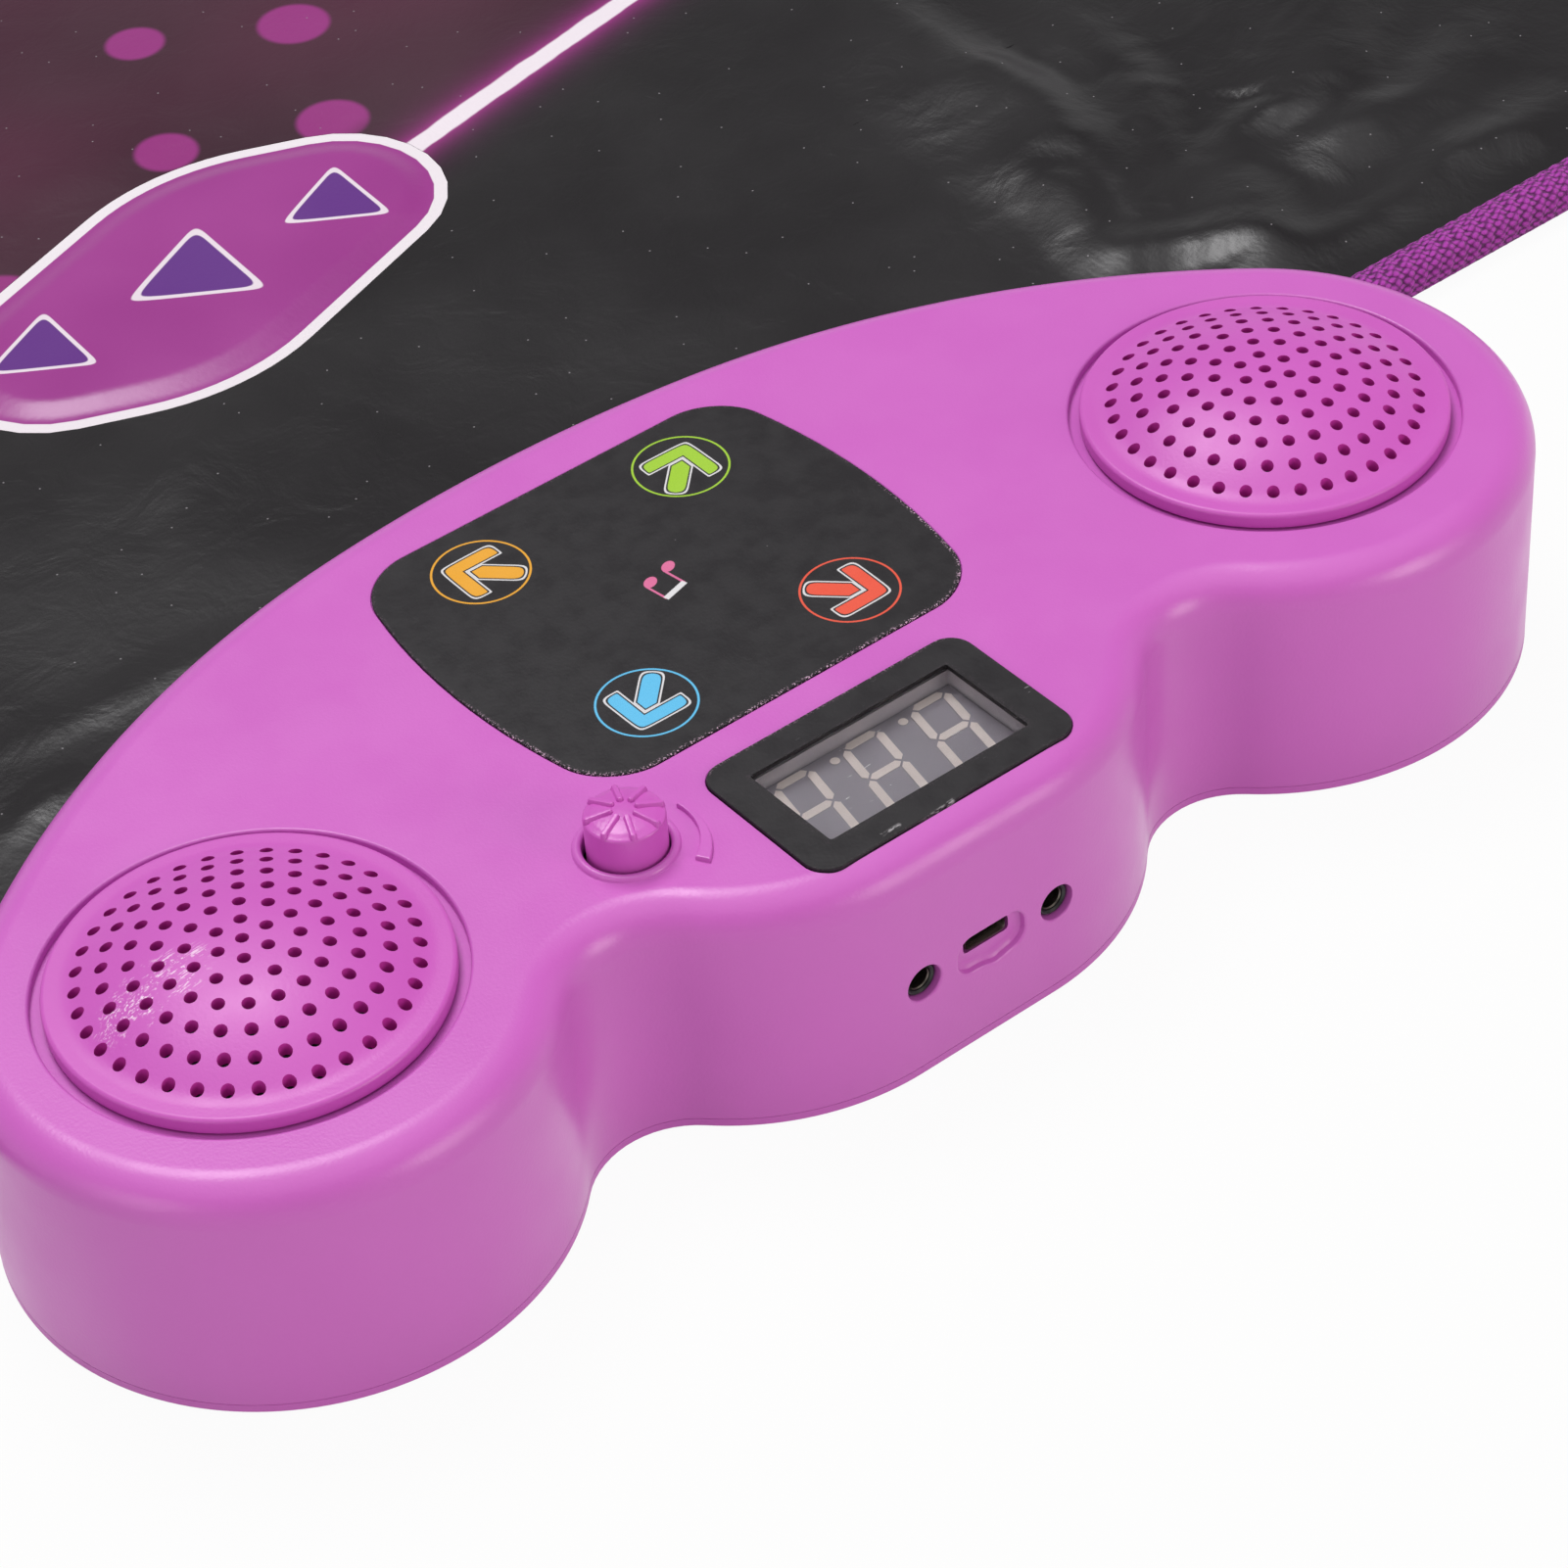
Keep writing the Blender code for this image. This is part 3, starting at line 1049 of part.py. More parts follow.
def make_mat_panel(panel, frame, origin):
    """Base sheet, foam core with a hollow under each pad, and top sheet with the pads in it."""
    hollows = list(pad_outlines(panel, SLIDE_GAP).values())
    pegs = []
    if panel == "a":
        pegs = [circle(PEG_R + GAP, (side * PEG_X, CONSOLE_Y + PEG_Y), 12) for side in (-1, 1)]
    layers = (("mat_base_sheet_", BINDING_WIDTH + GAP, 0.0, BASE_SHEET_T, pegs, "backing_cloth"),
              ("mat_core_", BINDING_WEB + GAP, CORE_Z, CORE_Z + CORE_T, pegs + hollows, "foam"),
              ("mat_top_sheet_", BINDING_WEB + GAP, TOP_SHEET_Z, SHEET_TOP, pegs + hollows,
               "black_vinyl"))
    for label, inset, low, high, holes, material in layers:
        outline = shift(mat_outline(panel, inset), 0.0, -origin[1])
        holes = [shift(hole, 0.0, -origin[1]) for hole in holes]
        add_piece(label + panel, plate_mesh(outline, low - origin[2], high - origin[2], holes),
                  material, frame, smooth=False)
    for name, outline in pad_outlines(panel).items():
        material = "pad_purple" if name == "start" else f"pad_{name}"
        add_piece(f"step_pad_{name}",
                  plate_mesh(shift(outline, 0.0, -origin[1]), PAD_BOTTOM - origin[2],
                             PAD_TOP - origin[2]), material, frame, smooth=False)


def binding_room(panel):
    """What the binding tape folds round, which runs out past the panel's folds."""
    outline = mat_outline(panel, BINDING_WEB)
    back, front = panel_span(panel)
    limits = {"a": (FAR, front), "b": (back, front), "c": (back, -FAR)}[panel]
    past = []
    for x, y in outline:
        if abs(y - limits[0]) < GAP / 2:
            y += BINDING_WIDTH
        elif abs(y - limits[1]) < GAP / 2:
            y -= BINDING_WIDTH
        past.append((x, y))
    return past


def make_binding(name, panel, frame, origin, sides=(-1, 1)):
    """Tape folded round the panel's outer edge. The middle panel has one strip a side."""
    outer = mat_outline(panel, 0.0)
    inner = mat_outline(panel, BINDING_WIDTH)
    back, front = panel_span(panel)
    if panel == "b":
        side = sides[0]
        near, far = side * (MAT_WIDTH / 2 - BINDING_WIDTH), side * MAT_WIDTH / 2
        outline = [(near, back), (near, front), (far, front), (far, back)]
        strip = plate_mesh(shift(outline, 0.0, -origin[1]), -origin[2], MAT_T - origin[2])
    elif panel == "a":
        outline = outer[:12] + [outer[12], inner[12]] + inner[11::-1] + [inner[13], outer[13]]
        strip = plate_mesh(shift(outline, 0.0, -origin[1]), -origin[2], MAT_T - origin[2])
    else:
        outline = outer[1:] + [outer[0], inner[0]] + inner[:1:-1] + [inner[1]]
        strip = plate_mesh(shift(outline, 0.0, -origin[1]), -origin[2], MAT_T - origin[2])
    binding = add_piece(name, strip, "purple_tape", frame, smooth=False)
    room = plate_mesh(shift(binding_room(panel), 0.0, -origin[1]),
                      BASE_SHEET_T - origin[2], SHEET_TOP + GAP - origin[2])
    combine(binding, add_tool(name + "_room", room, frame))
    if panel == "a":
        slot = span_box((RIBBON_X - RIBBON_WIDTH / 2 - GAP, MAT_BACK - 2 * BINDING_WEB - origin[1],
                         RIBBON_Z - RIBBON_T / 2 - GAP),
                        (RIBBON_X + RIBBON_WIDTH / 2 + GAP, MAT_BACK + BINDING_WEB - origin[1],
                         RIBBON_Z + RIBBON_T / 2 + GAP))
        combine(binding, add_tool("binding_slot", slot, frame))


def make_mat():
    places = {"a": (0.0, 0.0, 0.0), "b": (0.0, FOLD_1, -FOLD_UNDER),
              "c": (0.0, FOLD_2, HIGHEST + FOLD_OVER)}
    for panel, place in places.items():
        frame = add_frame(f"mat_panel_{panel}", place)
        make_mat_panel(panel, frame, place)
        if panel == "b":
            make_binding("edge_binding_b_left", panel, frame, place, (-1,))
            make_binding("edge_binding_b_right", panel, frame, place, (1,))
        else:
            make_binding(f"edge_binding_{panel}", panel, frame, place)


# Places that several pieces share
ARROW_SPOTS = {"red": (-ARROW_X, ARROW_BACK_Y), "blue": (ARROW_X, ARROW_BACK_Y),
               "yellow": (ARROW_X, ARROW_FRONT_Y), "green": (-ARROW_X, ARROW_FRONT_Y)}
FOOT_SPOTS = [(side * FOOT_X, y) for y in (FOOT_BACK_Y, FOOT_FRONT_Y) for side in (-1, 1)]
CONTROL_POSTS = [(side * (CONTROL_HALF_X - 2 * POST_R), y) for side in (-1, 1)
                 for y in (CONTROL_FRONT_Y + 2 * POST_R, CONTROL_BACK_Y - 2 * POST_R)]
MAIN_POSTS = [(side * (MAIN_HALF_X - 2 * POST_R), y) for side in (-1, 1)
              for y in (MAIN_FRONT_Y + 1.5 * POST_R, MAIN_BACK_Y - 2 * POST_R)]
COLLAR_INNER_R = KNOB_R + SLIDE_GAP
DISPLAY_SINK = BEZEL_T - BEZEL_PROUD + GLASS_T + 2 * GAP
LEDGE_TOP = FLOOR_TOP + GAP + BAY_WALL
SCREW_HEAD_Z = BASE_CLEARANCE + GAP
SCREW_TIP = SCREW_HEAD_Z + SCREW_GRIP
DOOR_SCREW_HEAD_Z = BASE_CLEARANCE + GAP / 2
DOOR_SCREW_TIP = FLOOR_TOP + 2 * SCREW_HEAD_R
RIBBON_Z = FLOOR_TOP + GAP + RIBBON_T


def main():
    console = add_frame("console", (0.0, CONSOLE_Y, 0.0))
    shell = make_top_shell(console)
    add_shell_bosses(shell, console)
    cut_shell(shell, console)
    make_base(console)
    make_feet(console)
    make_housing_screws(console)
    for side in (-1, 1):
        make_grille(side, console)
        make_speaker(side, console)
    make_panel_and_display(console)
    make_lights(console)
    make_boards(console)
    make_sockets(console)
    make_ribbon(console)
    make_volume(console)
    make_batteries(console)
    make_door(console)
    make_mat()


main()
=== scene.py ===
"""Looks of the electronic dance mat: a moulded sound console on the edge of a folding step mat.

Metres, +Z up. The player stands on the -Y side; the console lies along the +Y edge."""

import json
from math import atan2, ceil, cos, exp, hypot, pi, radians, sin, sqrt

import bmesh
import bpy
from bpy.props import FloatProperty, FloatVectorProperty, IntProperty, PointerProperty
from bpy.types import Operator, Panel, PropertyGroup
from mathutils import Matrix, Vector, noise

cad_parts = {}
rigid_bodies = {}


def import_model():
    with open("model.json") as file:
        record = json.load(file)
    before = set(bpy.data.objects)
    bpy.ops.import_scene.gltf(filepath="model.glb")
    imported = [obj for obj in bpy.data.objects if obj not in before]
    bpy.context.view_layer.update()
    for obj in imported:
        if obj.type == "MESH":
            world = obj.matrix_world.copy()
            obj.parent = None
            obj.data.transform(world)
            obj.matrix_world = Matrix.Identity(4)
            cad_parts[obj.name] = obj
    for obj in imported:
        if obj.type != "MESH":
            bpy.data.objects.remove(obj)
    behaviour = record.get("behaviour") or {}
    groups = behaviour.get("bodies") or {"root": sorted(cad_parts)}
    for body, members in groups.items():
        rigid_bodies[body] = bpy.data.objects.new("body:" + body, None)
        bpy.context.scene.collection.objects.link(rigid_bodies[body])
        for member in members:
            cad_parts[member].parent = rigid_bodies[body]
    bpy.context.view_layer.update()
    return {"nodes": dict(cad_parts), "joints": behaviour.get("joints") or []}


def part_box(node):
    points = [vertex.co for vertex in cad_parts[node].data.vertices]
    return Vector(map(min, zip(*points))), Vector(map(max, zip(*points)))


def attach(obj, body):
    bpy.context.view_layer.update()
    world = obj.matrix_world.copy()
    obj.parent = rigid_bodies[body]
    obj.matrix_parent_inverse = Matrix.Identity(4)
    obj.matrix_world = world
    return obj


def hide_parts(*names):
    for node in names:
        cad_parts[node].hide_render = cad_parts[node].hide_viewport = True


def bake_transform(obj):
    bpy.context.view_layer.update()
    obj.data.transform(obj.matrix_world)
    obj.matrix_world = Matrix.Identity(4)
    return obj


bl_info = {
    "name": "Electronic dance mat",
    "version": (1, 0, 0),
    "blender": (4, 5, 0),
    "location": "3D View > Sidebar > Dance mat",
    "description": "Builds the visible pieces of an electronic dance mat round its frame",
    "category": "Object",
}

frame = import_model()


# Places and sizes that come from the frame

def middle(node):
    low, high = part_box(node)
    return (low + high) / 2


def span(node):
    low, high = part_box(node)
    return high - low


def joint(name):
    return next(j for j in frame["joints"] if j["name"] == name)


GAP = 0.0003
COLLAR_PROUD = 0.0008
SHELL_LOW, SHELL_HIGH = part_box("console_top_shell")
TOP = SHELL_HIGH.z - COLLAR_PROUD
SPEAKER = middle("speaker_frame_right")
CONSOLE_Y = SPEAKER.y
SPEAKER_X = SPEAKER.x
BACK_DEPTH = SHELL_HIGH.y - CONSOLE_Y
FRONT_DEPTH = CONSOLE_Y - SHELL_LOW.y
KNOB = middle("volume_knob")
KNOB_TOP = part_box("volume_knob")[1].z
KNOB_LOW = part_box("volume_knob")[0].z
KNOB_R = span("volume_knob").x / 2
COLLAR_PLACE = (KNOB.x + 0.00014, KNOB.y - 0.0001)
PANEL_CENTER = middle("arrow_panel")
PANEL_SIZE = span("arrow_panel")
BEZEL_CENTER = middle("display_bezel")
BEZEL_SIZE = span("display_bezel")
GLASS_SIZE = span("display_window")
BASE_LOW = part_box("console_base")[0].z
MAT_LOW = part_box("edge_binding_c")[0]
MAT_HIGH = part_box("edge_binding_a")[1]
MAT_T = MAT_HIGH.z
MAT_HALF_X = MAT_HIGH.x
MAT_FRONT = MAT_LOW.y
MAT_BACK = MAT_HIGH.y
SHEET_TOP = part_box("mat_top_sheet_a")[1].z
BASE_SHEET_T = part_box("mat_base_sheet_a")[1].z
FOLD_NEAR = joint("mat_fold_near")["pos_m"][1]
FOLD_FAR = joint("mat_fold_far")["pos_m"][1]
PAD_LOW, PAD_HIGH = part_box("step_pad_start")
CORNER_PADS = ("red", "blue", "yellow", "green")
CORD_PITCH = 0.0032
CORD_LEAN = 0.4
PRINT_WHITE = (0.75, 0.74, 0.76)
PRINT_DARK = (0.02, 0.018, 0.02)


# Sizes and colours that a user may change

def length(name, description, default):
    return FloatProperty(name=name, description=description, default=default, min=0.0,
                         precision=5, unit="LENGTH")


def colour(name, description, default):
    return FloatVectorProperty(name=name, description=description, default=default, size=3,
                               min=0.0, max=1.0, subtype="COLOR")


class ConsoleSizes(PropertyGroup):
    fillet: length("Fillet", "Rounded edge between the top and the walls", 0.006)
    wall: length("Wall", "Thickness of the shell", 0.0024)
    lobe_offset: length("Lobe offset", "From a speaker's axis in to its lobe's centre", 0.0011)
    lobe_r: length("Lobe radius", "Radius of the end lobes", 0.0424)
    shoulder_r: length("Shoulder radius", "Arcs between the lobes and the mat side", 0.163)
    back_flat: length("Back flat", "Half the straight stretch of the middle lobe", 0.0126)
    back_corner_r: length("Back corner radius", "Corners of the middle lobe", 0.0412)
    waist_r: length("Waist radius", "Hollows between the lobes", 0.0144)
    lip: length("Lip", "Rounding of the edges of seats and openings", 0.0005)
    step: length("Step", "Length of one straight piece of the outline", 0.0016)


class GrilleSizes(PropertyGroup):
    seat_r: length("Seat radius", "Round seat in the shell", 0.0302)
    seat_depth: length("Seat depth", "Depth of the round seat", 0.0014)
    radius: length("Radius", "Outer radius of the grille", 0.0285)
    dome_r: length("Dome radius", "Radius of the raised dome", 0.0248)
    dome_rise: length("Dome rise", "Height of the dome over its flange", 0.0062)
    thickness: length("Thickness", "Thickness of the grille", 0.0025)
    hole_r: length("Hole radius", "Radius of one sound hole", 0.00098)
    pitch: length("Pitch", "Distance between the rings of holes", 0.00394)
    rings: IntProperty(name="Rings", description="Rings of holes round the middle one",
                       default=6, min=1, max=9)


class MatSizes(PropertyGroup):
    tape_width: length("Tape width", "Binding tape on the top of the mat", 0.008)
    corner_r: length("Corner radius", "Corners of the mat", 0.025)
    cell: length("Cell", "Grid step of the cover", 0.004)
    crease: length("Crease", "Height of the creases of the cover", 0.0016)
    fold_band: length("Fold band", "Length of cover that bends at a fold", 0.016)
    pad_corner_r: length("Pad corner radius", "Corners of the four step pads", 0.03)


class Finishes(PropertyGroup):
    plastic: colour("Plastic", "Orchid plastic of the console", (0.63, 0.135, 0.57))
    knob: colour("Knob", "Deeper plastic of the knob and the grilles", (0.62, 0.108, 0.54))
    film: colour("Film", "Printed black film", (0.0155, 0.0135, 0.016))
    vinyl: colour("Vinyl", "Black satin cover of the mat", (0.0115, 0.0098, 0.0115))
    tape: colour("Tape", "Binding tape", (0.38, 0.045, 0.37))
    glow: colour("Glow", "Magenta of the printed glow and dots", (0.33, 0.03, 0.23))
    label: colour("Label", "Ground of the start label", (0.35, 0.04, 0.28))
    red: colour("Red", "Red arrows", (0.83, 0.1, 0.055))
    blue: colour("Blue", "Blue arrows", (0.12, 0.53, 0.85))
    yellow: colour("Yellow", "Orange-yellow arrows", (0.83, 0.39, 0.03))
    green: colour("Green", "Green arrows", (0.36, 0.62, 0.04))


class DanceMat(PropertyGroup):
    console: PointerProperty(type=ConsoleSizes)
    grille: PointerProperty(type=GrilleSizes)
    mat: PointerProperty(type=MatSizes)
    finish: PointerProperty(type=Finishes)


# Outlines

def arc_points(center, radius, start, end, steps):
    return [(center[0] + radius * cos(start + (end - start) * i / steps),
             center[1] + radius * sin(start + (end - start) * i / steps))
            for i in range(steps + 1)]


def direction(a, b):
    return atan2(b[1] - a[1], b[0] - a[0])


def meeting_point(a, radius_a, b, radius_b, side):
    """Where a circle round a meets one round b, on the side that is asked for."""
    reach = hypot(b[0] - a[0], b[1] - a[1])
    along = (reach ** 2 + radius_a ** 2 - radius_b ** 2) / (2 * reach)
    across = side * sqrt(max(radius_a ** 2 - along ** 2, 0.0))
    ux, uy = (b[0] - a[0]) / reach, (b[1] - a[1]) / reach
    return (a[0] + ux * along - uy * across, a[1] + uy * along + ux * across)


def console_outline(sizes, inset=0.0):
    """Arcs that run smoothly into each other, each inset outline with as many points."""
    flattening = 1.29
    lobe = (SPEAKER_X - sizes.lobe_offset, 0.0)
    corner = (sizes.back_flat, BACK_DEPTH - sizes.back_corner_r)
    waist = meeting_point(corner, sizes.back_corner_r + sizes.waist_r,
                          lobe, sizes.lobe_r + sizes.waist_r, 1)
    plain_arc = ((lobe[0] ** 2 + FRONT_DEPTH ** 2 - sizes.lobe_r ** 2)
                 / (2 * (FRONT_DEPTH - sizes.lobe_r)))
    front_r = plain_arc * flattening
    front = (0.0, front_r - FRONT_DEPTH)
    shoulder = meeting_point(lobe, sizes.shoulder_r - sizes.lobe_r,
                             front, front_r - sizes.shoulder_r, 1)
    lobe_end = direction(shoulder, lobe)
    shoulder_end = direction(front, shoulder)
    arcs = ((corner, sizes.back_corner_r, -1, pi / 2, direction(corner, waist)),
            (waist, sizes.waist_r, 1, direction(waist, corner), direction(waist, lobe)),
            (lobe, sizes.lobe_r, -1, direction(lobe, waist), lobe_end),
            (shoulder, sizes.shoulder_r, -1, lobe_end, shoulder_end),
            (front, front_r, -1, shoulder_end, -pi / 2))
    half = []
    for center, radius, way, start, end in arcs:
        steps = max(2, ceil(abs(end - start) * radius / sizes.step))
        points = arc_points(center, radius + way * inset, start, end, steps)
        half += points if not half else points[1:]
    mirrored = [(-x, y) for x, y in half[-2::-1]]
    return [(x, y + CONSOLE_Y) for x, y in half + mirrored]


def rounded_rectangle(half_x, half_y, radius, center=(0.0, 0.0), steps=8, side_steps=1):
    """Counterclockwise, from the corner at +X, +Y."""
    points = []
    for turn, (sx, sy) in enumerate(((1, 1), (-1, 1), (-1, -1), (1, -1))):
        pivot = (center[0] + sx * (half_x - radius), center[1] + sy * (half_y - radius))
        points += arc_points(pivot, radius, turn * pi / 2, (turn + 1) * pi / 2, steps)
        stretch = half_x - radius if turn % 2 == 0 else half_y - radius
        last = points[-1]
        ahead = (turn * pi / 2) + pi
        for i in range(1, side_steps):
            far = 2 * stretch * i / side_steps
            points.append((last[0] + far * cos(ahead), last[1] + far * sin(ahead)))
    return points


def panel_outline(inset=0.0):
    """A rounded rectangle whose left and right sides bow out."""
    bulge = 0.0046
    corner = 0.0083
    half_x = PANEL_SIZE.x / 2 - bulge
    half_y = PANEL_SIZE.y / 2
    flat = rounded_rectangle(half_x - inset, half_y - inset, corner - inset,
                             (0.0, PANEL_CENTER.y), 12, 12)
    return [(x + (bulge if x > 0 else -bulge)
             * max(0.0, 1.0 - ((y - PANEL_CENTER.y) / half_y) ** 2), y) for x, y in flat]


def bezel_outline(grow=0.0):
    corner = 0.004
    return rounded_rectangle(BEZEL_SIZE.x / 2 + grow, BEZEL_SIZE.y / 2 + grow, corner + grow,
                             (0.0, BEZEL_CENTER.y), 10)


def window_outline():
    side, border = 0.0058, 0.0052
    corner = 0.0005
    return rounded_rectangle(BEZEL_SIZE.x / 2 - side, BEZEL_SIZE.y / 2 - border, corner,
                             (0.0, BEZEL_CENTER.y), 4)


def corner_arc(before, corner, after, radius, inset, steps=10):
    """The rounding of one corner of a shape, drawn further in by the inset."""
    back = (Vector(before) - Vector(corner)).normalized()
    ahead = (Vector(after) - Vector(corner)).normalized()
    pivot = Vector(corner) + (back + ahead).normalized() * radius / sin(back.angle(ahead) / 2)
    start = atan2(-back.x, back.y) + pi
    end = atan2(-ahead.x, ahead.y)
    while end < start:
        end += 2 * pi
    while end - start > 2 * pi:
        end -= 2 * pi
    return arc_points(pivot, radius - inset, start, end, steps)


def start_pad_outline(inset=0.0):
    """A slanted lozenge with well rounded ends."""
    side = Vector((0.012, 0.0356))
    end = Vector((0.0902, 0.0027))
    side_r = 0.0457
    end_r = 0.0218
    place = Vector(((PAD_LOW.x + PAD_HIGH.x) / 2, (PAD_LOW.y + PAD_HIGH.y) / 2))
    corners = ((end, end_r), (side, side_r), (-end, end_r), (-side, side_r))
    points = []
    for i, (corner, radius) in enumerate(corners):
        points += corner_arc(place + corners[i - 1][0], place + corner,
                             place + corners[(i + 1) % 4][0], radius, inset)
    return points


def raised(points, z):
    return [Vector((x, y, z)) for x, y in points]


# Mesh tools

def around(loop):
    return [(loop[i], loop[(i + 1) % len(loop)]) for i in range(len(loop))]


def extrude_loop(bm, loop, places):
    """Extrudes a closed loop of vertices and puts the new loop at these places."""
    edges = [bm.edges.get(pair) for pair in around(loop)]
    grown = bmesh.ops.extrude_edge_only(bm, edges=edges)
    fresh = {v for v in grown["geom"] if isinstance(v, bmesh.types.BMVert)}
    ahead = []
    for vert, place in zip(loop, places):
        partner = next(e.other_vert(vert) for e in vert.link_edges if e.other_vert(vert) in fresh)
        partner.co = place
        ahead.append(partner)
    return ahead


def loft(bm, rings):
    """Draws a loop out through rings of as many points, and closes both ends."""
    first = [bm.verts.new(place) for place in rings[0]]
    for pair in around(first):
        bm.edges.new(pair)
    loop = first
    for ring in rings[1:]:
        loop = extrude_loop(bm, loop, ring)
    bm.faces.new(first)
    bm.faces.new(loop)


def turned(bm, profile, center=(0.0, 0.0), steps=64):
    """Spins a profile of radius and height pairs about the upright axis."""
    verts = [bm.verts.new((center[0] + r, center[1], z)) for r, z in profile]
    edges = [bm.edges.new(pair) for pair in zip(verts, verts[1:])]
    if profile[0][0] > 0.0:
        edges.append(bm.edges.new((verts[-1], verts[0])))
    bmesh.ops.spin(bm, geom=verts + edges, cent=(*center, 0.0), axis=(0, 0, 1), dvec=(0, 0, 0),
                   angle=2 * pi, steps=steps, use_merge=True, use_duplicate=False)
    bmesh.ops.remove_doubles(bm, verts=bm.verts, dist=1e-6)


def turned_in_wall(bm, profile, spot, steps):
    """Spins a profile about an axis that runs out of the back wall at this spot."""
    turned(bm, profile, steps=steps)
    place = Matrix.Translation(spot) @ Matrix.Rotation(-pi / 2, 4, "X")
    bmesh.ops.transform(bm, matrix=place, verts=bm.verts)


def rod(bm, radius, z_low, z_high, center=(0.0, 0.0), sides=24):
    made = bmesh.ops.create_cone(bm, cap_ends=True, segments=sides, radius1=radius,
                                 radius2=radius, depth=z_high - z_low)
    bmesh.ops.translate(bm, verts=made["verts"], vec=(*center, (z_low + z_high) / 2))


def block(bm, low, high, edge=0.0, segments=2):
    """A box between two corners, with rounded edges where an edge is given."""
    made = bmesh.ops.create_cube(bm, size=1.0)
    verts = made["verts"]
    bmesh.ops.scale(bm, verts=verts, vec=[b - a for a, b in zip(low, high)])
    bmesh.ops.translate(bm, verts=verts, vec=[(a + b) / 2 for a, b in zip(low, high)])
    if edge:
        edges = list({e for v in verts for e in v.link_edges})
        bmesh.ops.bevel(bm, geom=edges, offset=edge, offset_type="OFFSET", segments=segments,
                        profile=0.5, affect="EDGES", material=-1)


def quarter(center, radius, start, steps=5):
    """Points of a quarter turn in a profile, from this angle on."""
    return arc_points(center, radius, start, start - pi / 2, steps)


def mesh_of(bm, name, angle=32.0):
    bmesh.ops.recalc_face_normals(bm, faces=bm.faces[:])
    mesh = bpy.data.meshes.new(name)
    bm.to_mesh(mesh)
    bm.free()
    mesh.shade_smooth()
    mesh.set_sharp_from_angle(angle=radians(angle))
    return mesh


def piece(name, mesh, material, body="console", replaced=()):
    made = bpy.data.objects.new(name, mesh)
    bpy.context.scene.collection.objects.link(made)
    for one in material if isinstance(material, (list, tuple)) else (material,):
        mesh.materials.append(one)
    if body:
        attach(made, body)
    if replaced:
        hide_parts(*replaced)
    return made


def settle(target):
    """Turns a piece's modifiers into plain mesh."""
    shape = target.evaluated_get(bpy.context.evaluated_depsgraph_get())
    mesh = bpy.data.meshes.new_from_object(shape)
    old = target.data
    target.modifiers.clear()
    target.data = mesh
    mesh.name = old.name
    bpy.data.meshes.remove(old)


def carve(target, bm, operation="DIFFERENCE"):
    """Cuts a shape out of a piece, or joins it on."""
    bmesh.ops.recalc_face_normals(bm, faces=bm.faces[:])
    mesh = bpy.data.meshes.new("tool")
    bm.to_mesh(mesh)
    bm.free()
    for one in target.data.materials:
        mesh.materials.append(one)
    tool = bpy.data.objects.new("tool", mesh)
    bpy.context.scene.collection.objects.link(tool)
    change = target.modifiers.new("carve", "BOOLEAN")
    change.operation = operation
    change.object = tool
    settle(target)
    bpy.data.objects.remove(tool)
    bpy.data.meshes.remove(mesh)


def carve_block(target, low, high, edge=0.0, operation="DIFFERENCE"):
    bm = bmesh.new()
    block(bm, low, high, edge)
    carve(target, bm, operation)


def carve_loft(target, rings, operation="DIFFERENCE"):
    bm = bmesh.new()
    loft(bm, rings)
    carve(target, bm, operation)


def smooth_edges(target, angle=32.0):
    """Sharp edges by angle, and shading that large flat faces rule."""
    target.data.shade_smooth()
    target.data.set_sharp_from_angle(angle=radians(angle))
    weigh = target.modifiers.new("shading", "WEIGHTED_NORMAL")
    weigh.keep_sharp = True


# Material tools

class Field:
    """A number that varies over a surface, worked out by Math nodes."""

    def __init__(self, tree, socket):
        self.tree = tree
        self.socket = socket

    def math(self, operation, *others):
        node = self.tree.nodes.new("ShaderNodeMath")
        node.operation = operation
        self.tree.links.new(self.socket, node.inputs[0])
        for slot, other in enumerate(others, start=1):
            if isinstance(other, Field):
                self.tree.links.new(other.socket, node.inputs[slot])
            else:
                node.inputs[slot].default_value = other
        return Field(self.tree, node.outputs[0])

    def __add__(self, other):
        return self.math("ADD", other)

    def __sub__(self, other):
        return self.math("SUBTRACT", other)

    def __mul__(self, other):
        return self.math("MULTIPLY", other)

    def __neg__(self):
        return self.math("MULTIPLY", -1.0)

    def __abs__(self):
        return self.math("ABSOLUTE")

    def over(self, other):
        return self.math("MAXIMUM", other)

    def under(self, other):
        return self.math("MINIMUM", other)

    def soft_over(self, other, blend):
        return self.math("SMOOTH_MAX", other, blend)

    def sine(self, wavelength):
        return (self * (2 * pi / wavelength)).math("SINE")

    def ramp(self, start, end, low=0.0, high=1.0, smooth=True):
        """Runs from low to high while the field runs from start to end."""
        node = self.tree.nodes.new("ShaderNodeMapRange")
        node.interpolation_type = "SMOOTHSTEP" if smooth else "LINEAR"
        self.tree.links.new(self.socket, node.inputs[0])
        for slot, value in enumerate((start, end, low, high), start=1):
            node.inputs[slot].default_value = value
        return Field(self.tree, node.outputs[0])

    def inside(self, edge=0.0, soft=0.00008):
        """1 where the field is below the edge, 0 above it."""
        return self.ramp(edge - soft, edge + soft, 1.0, 0.0)


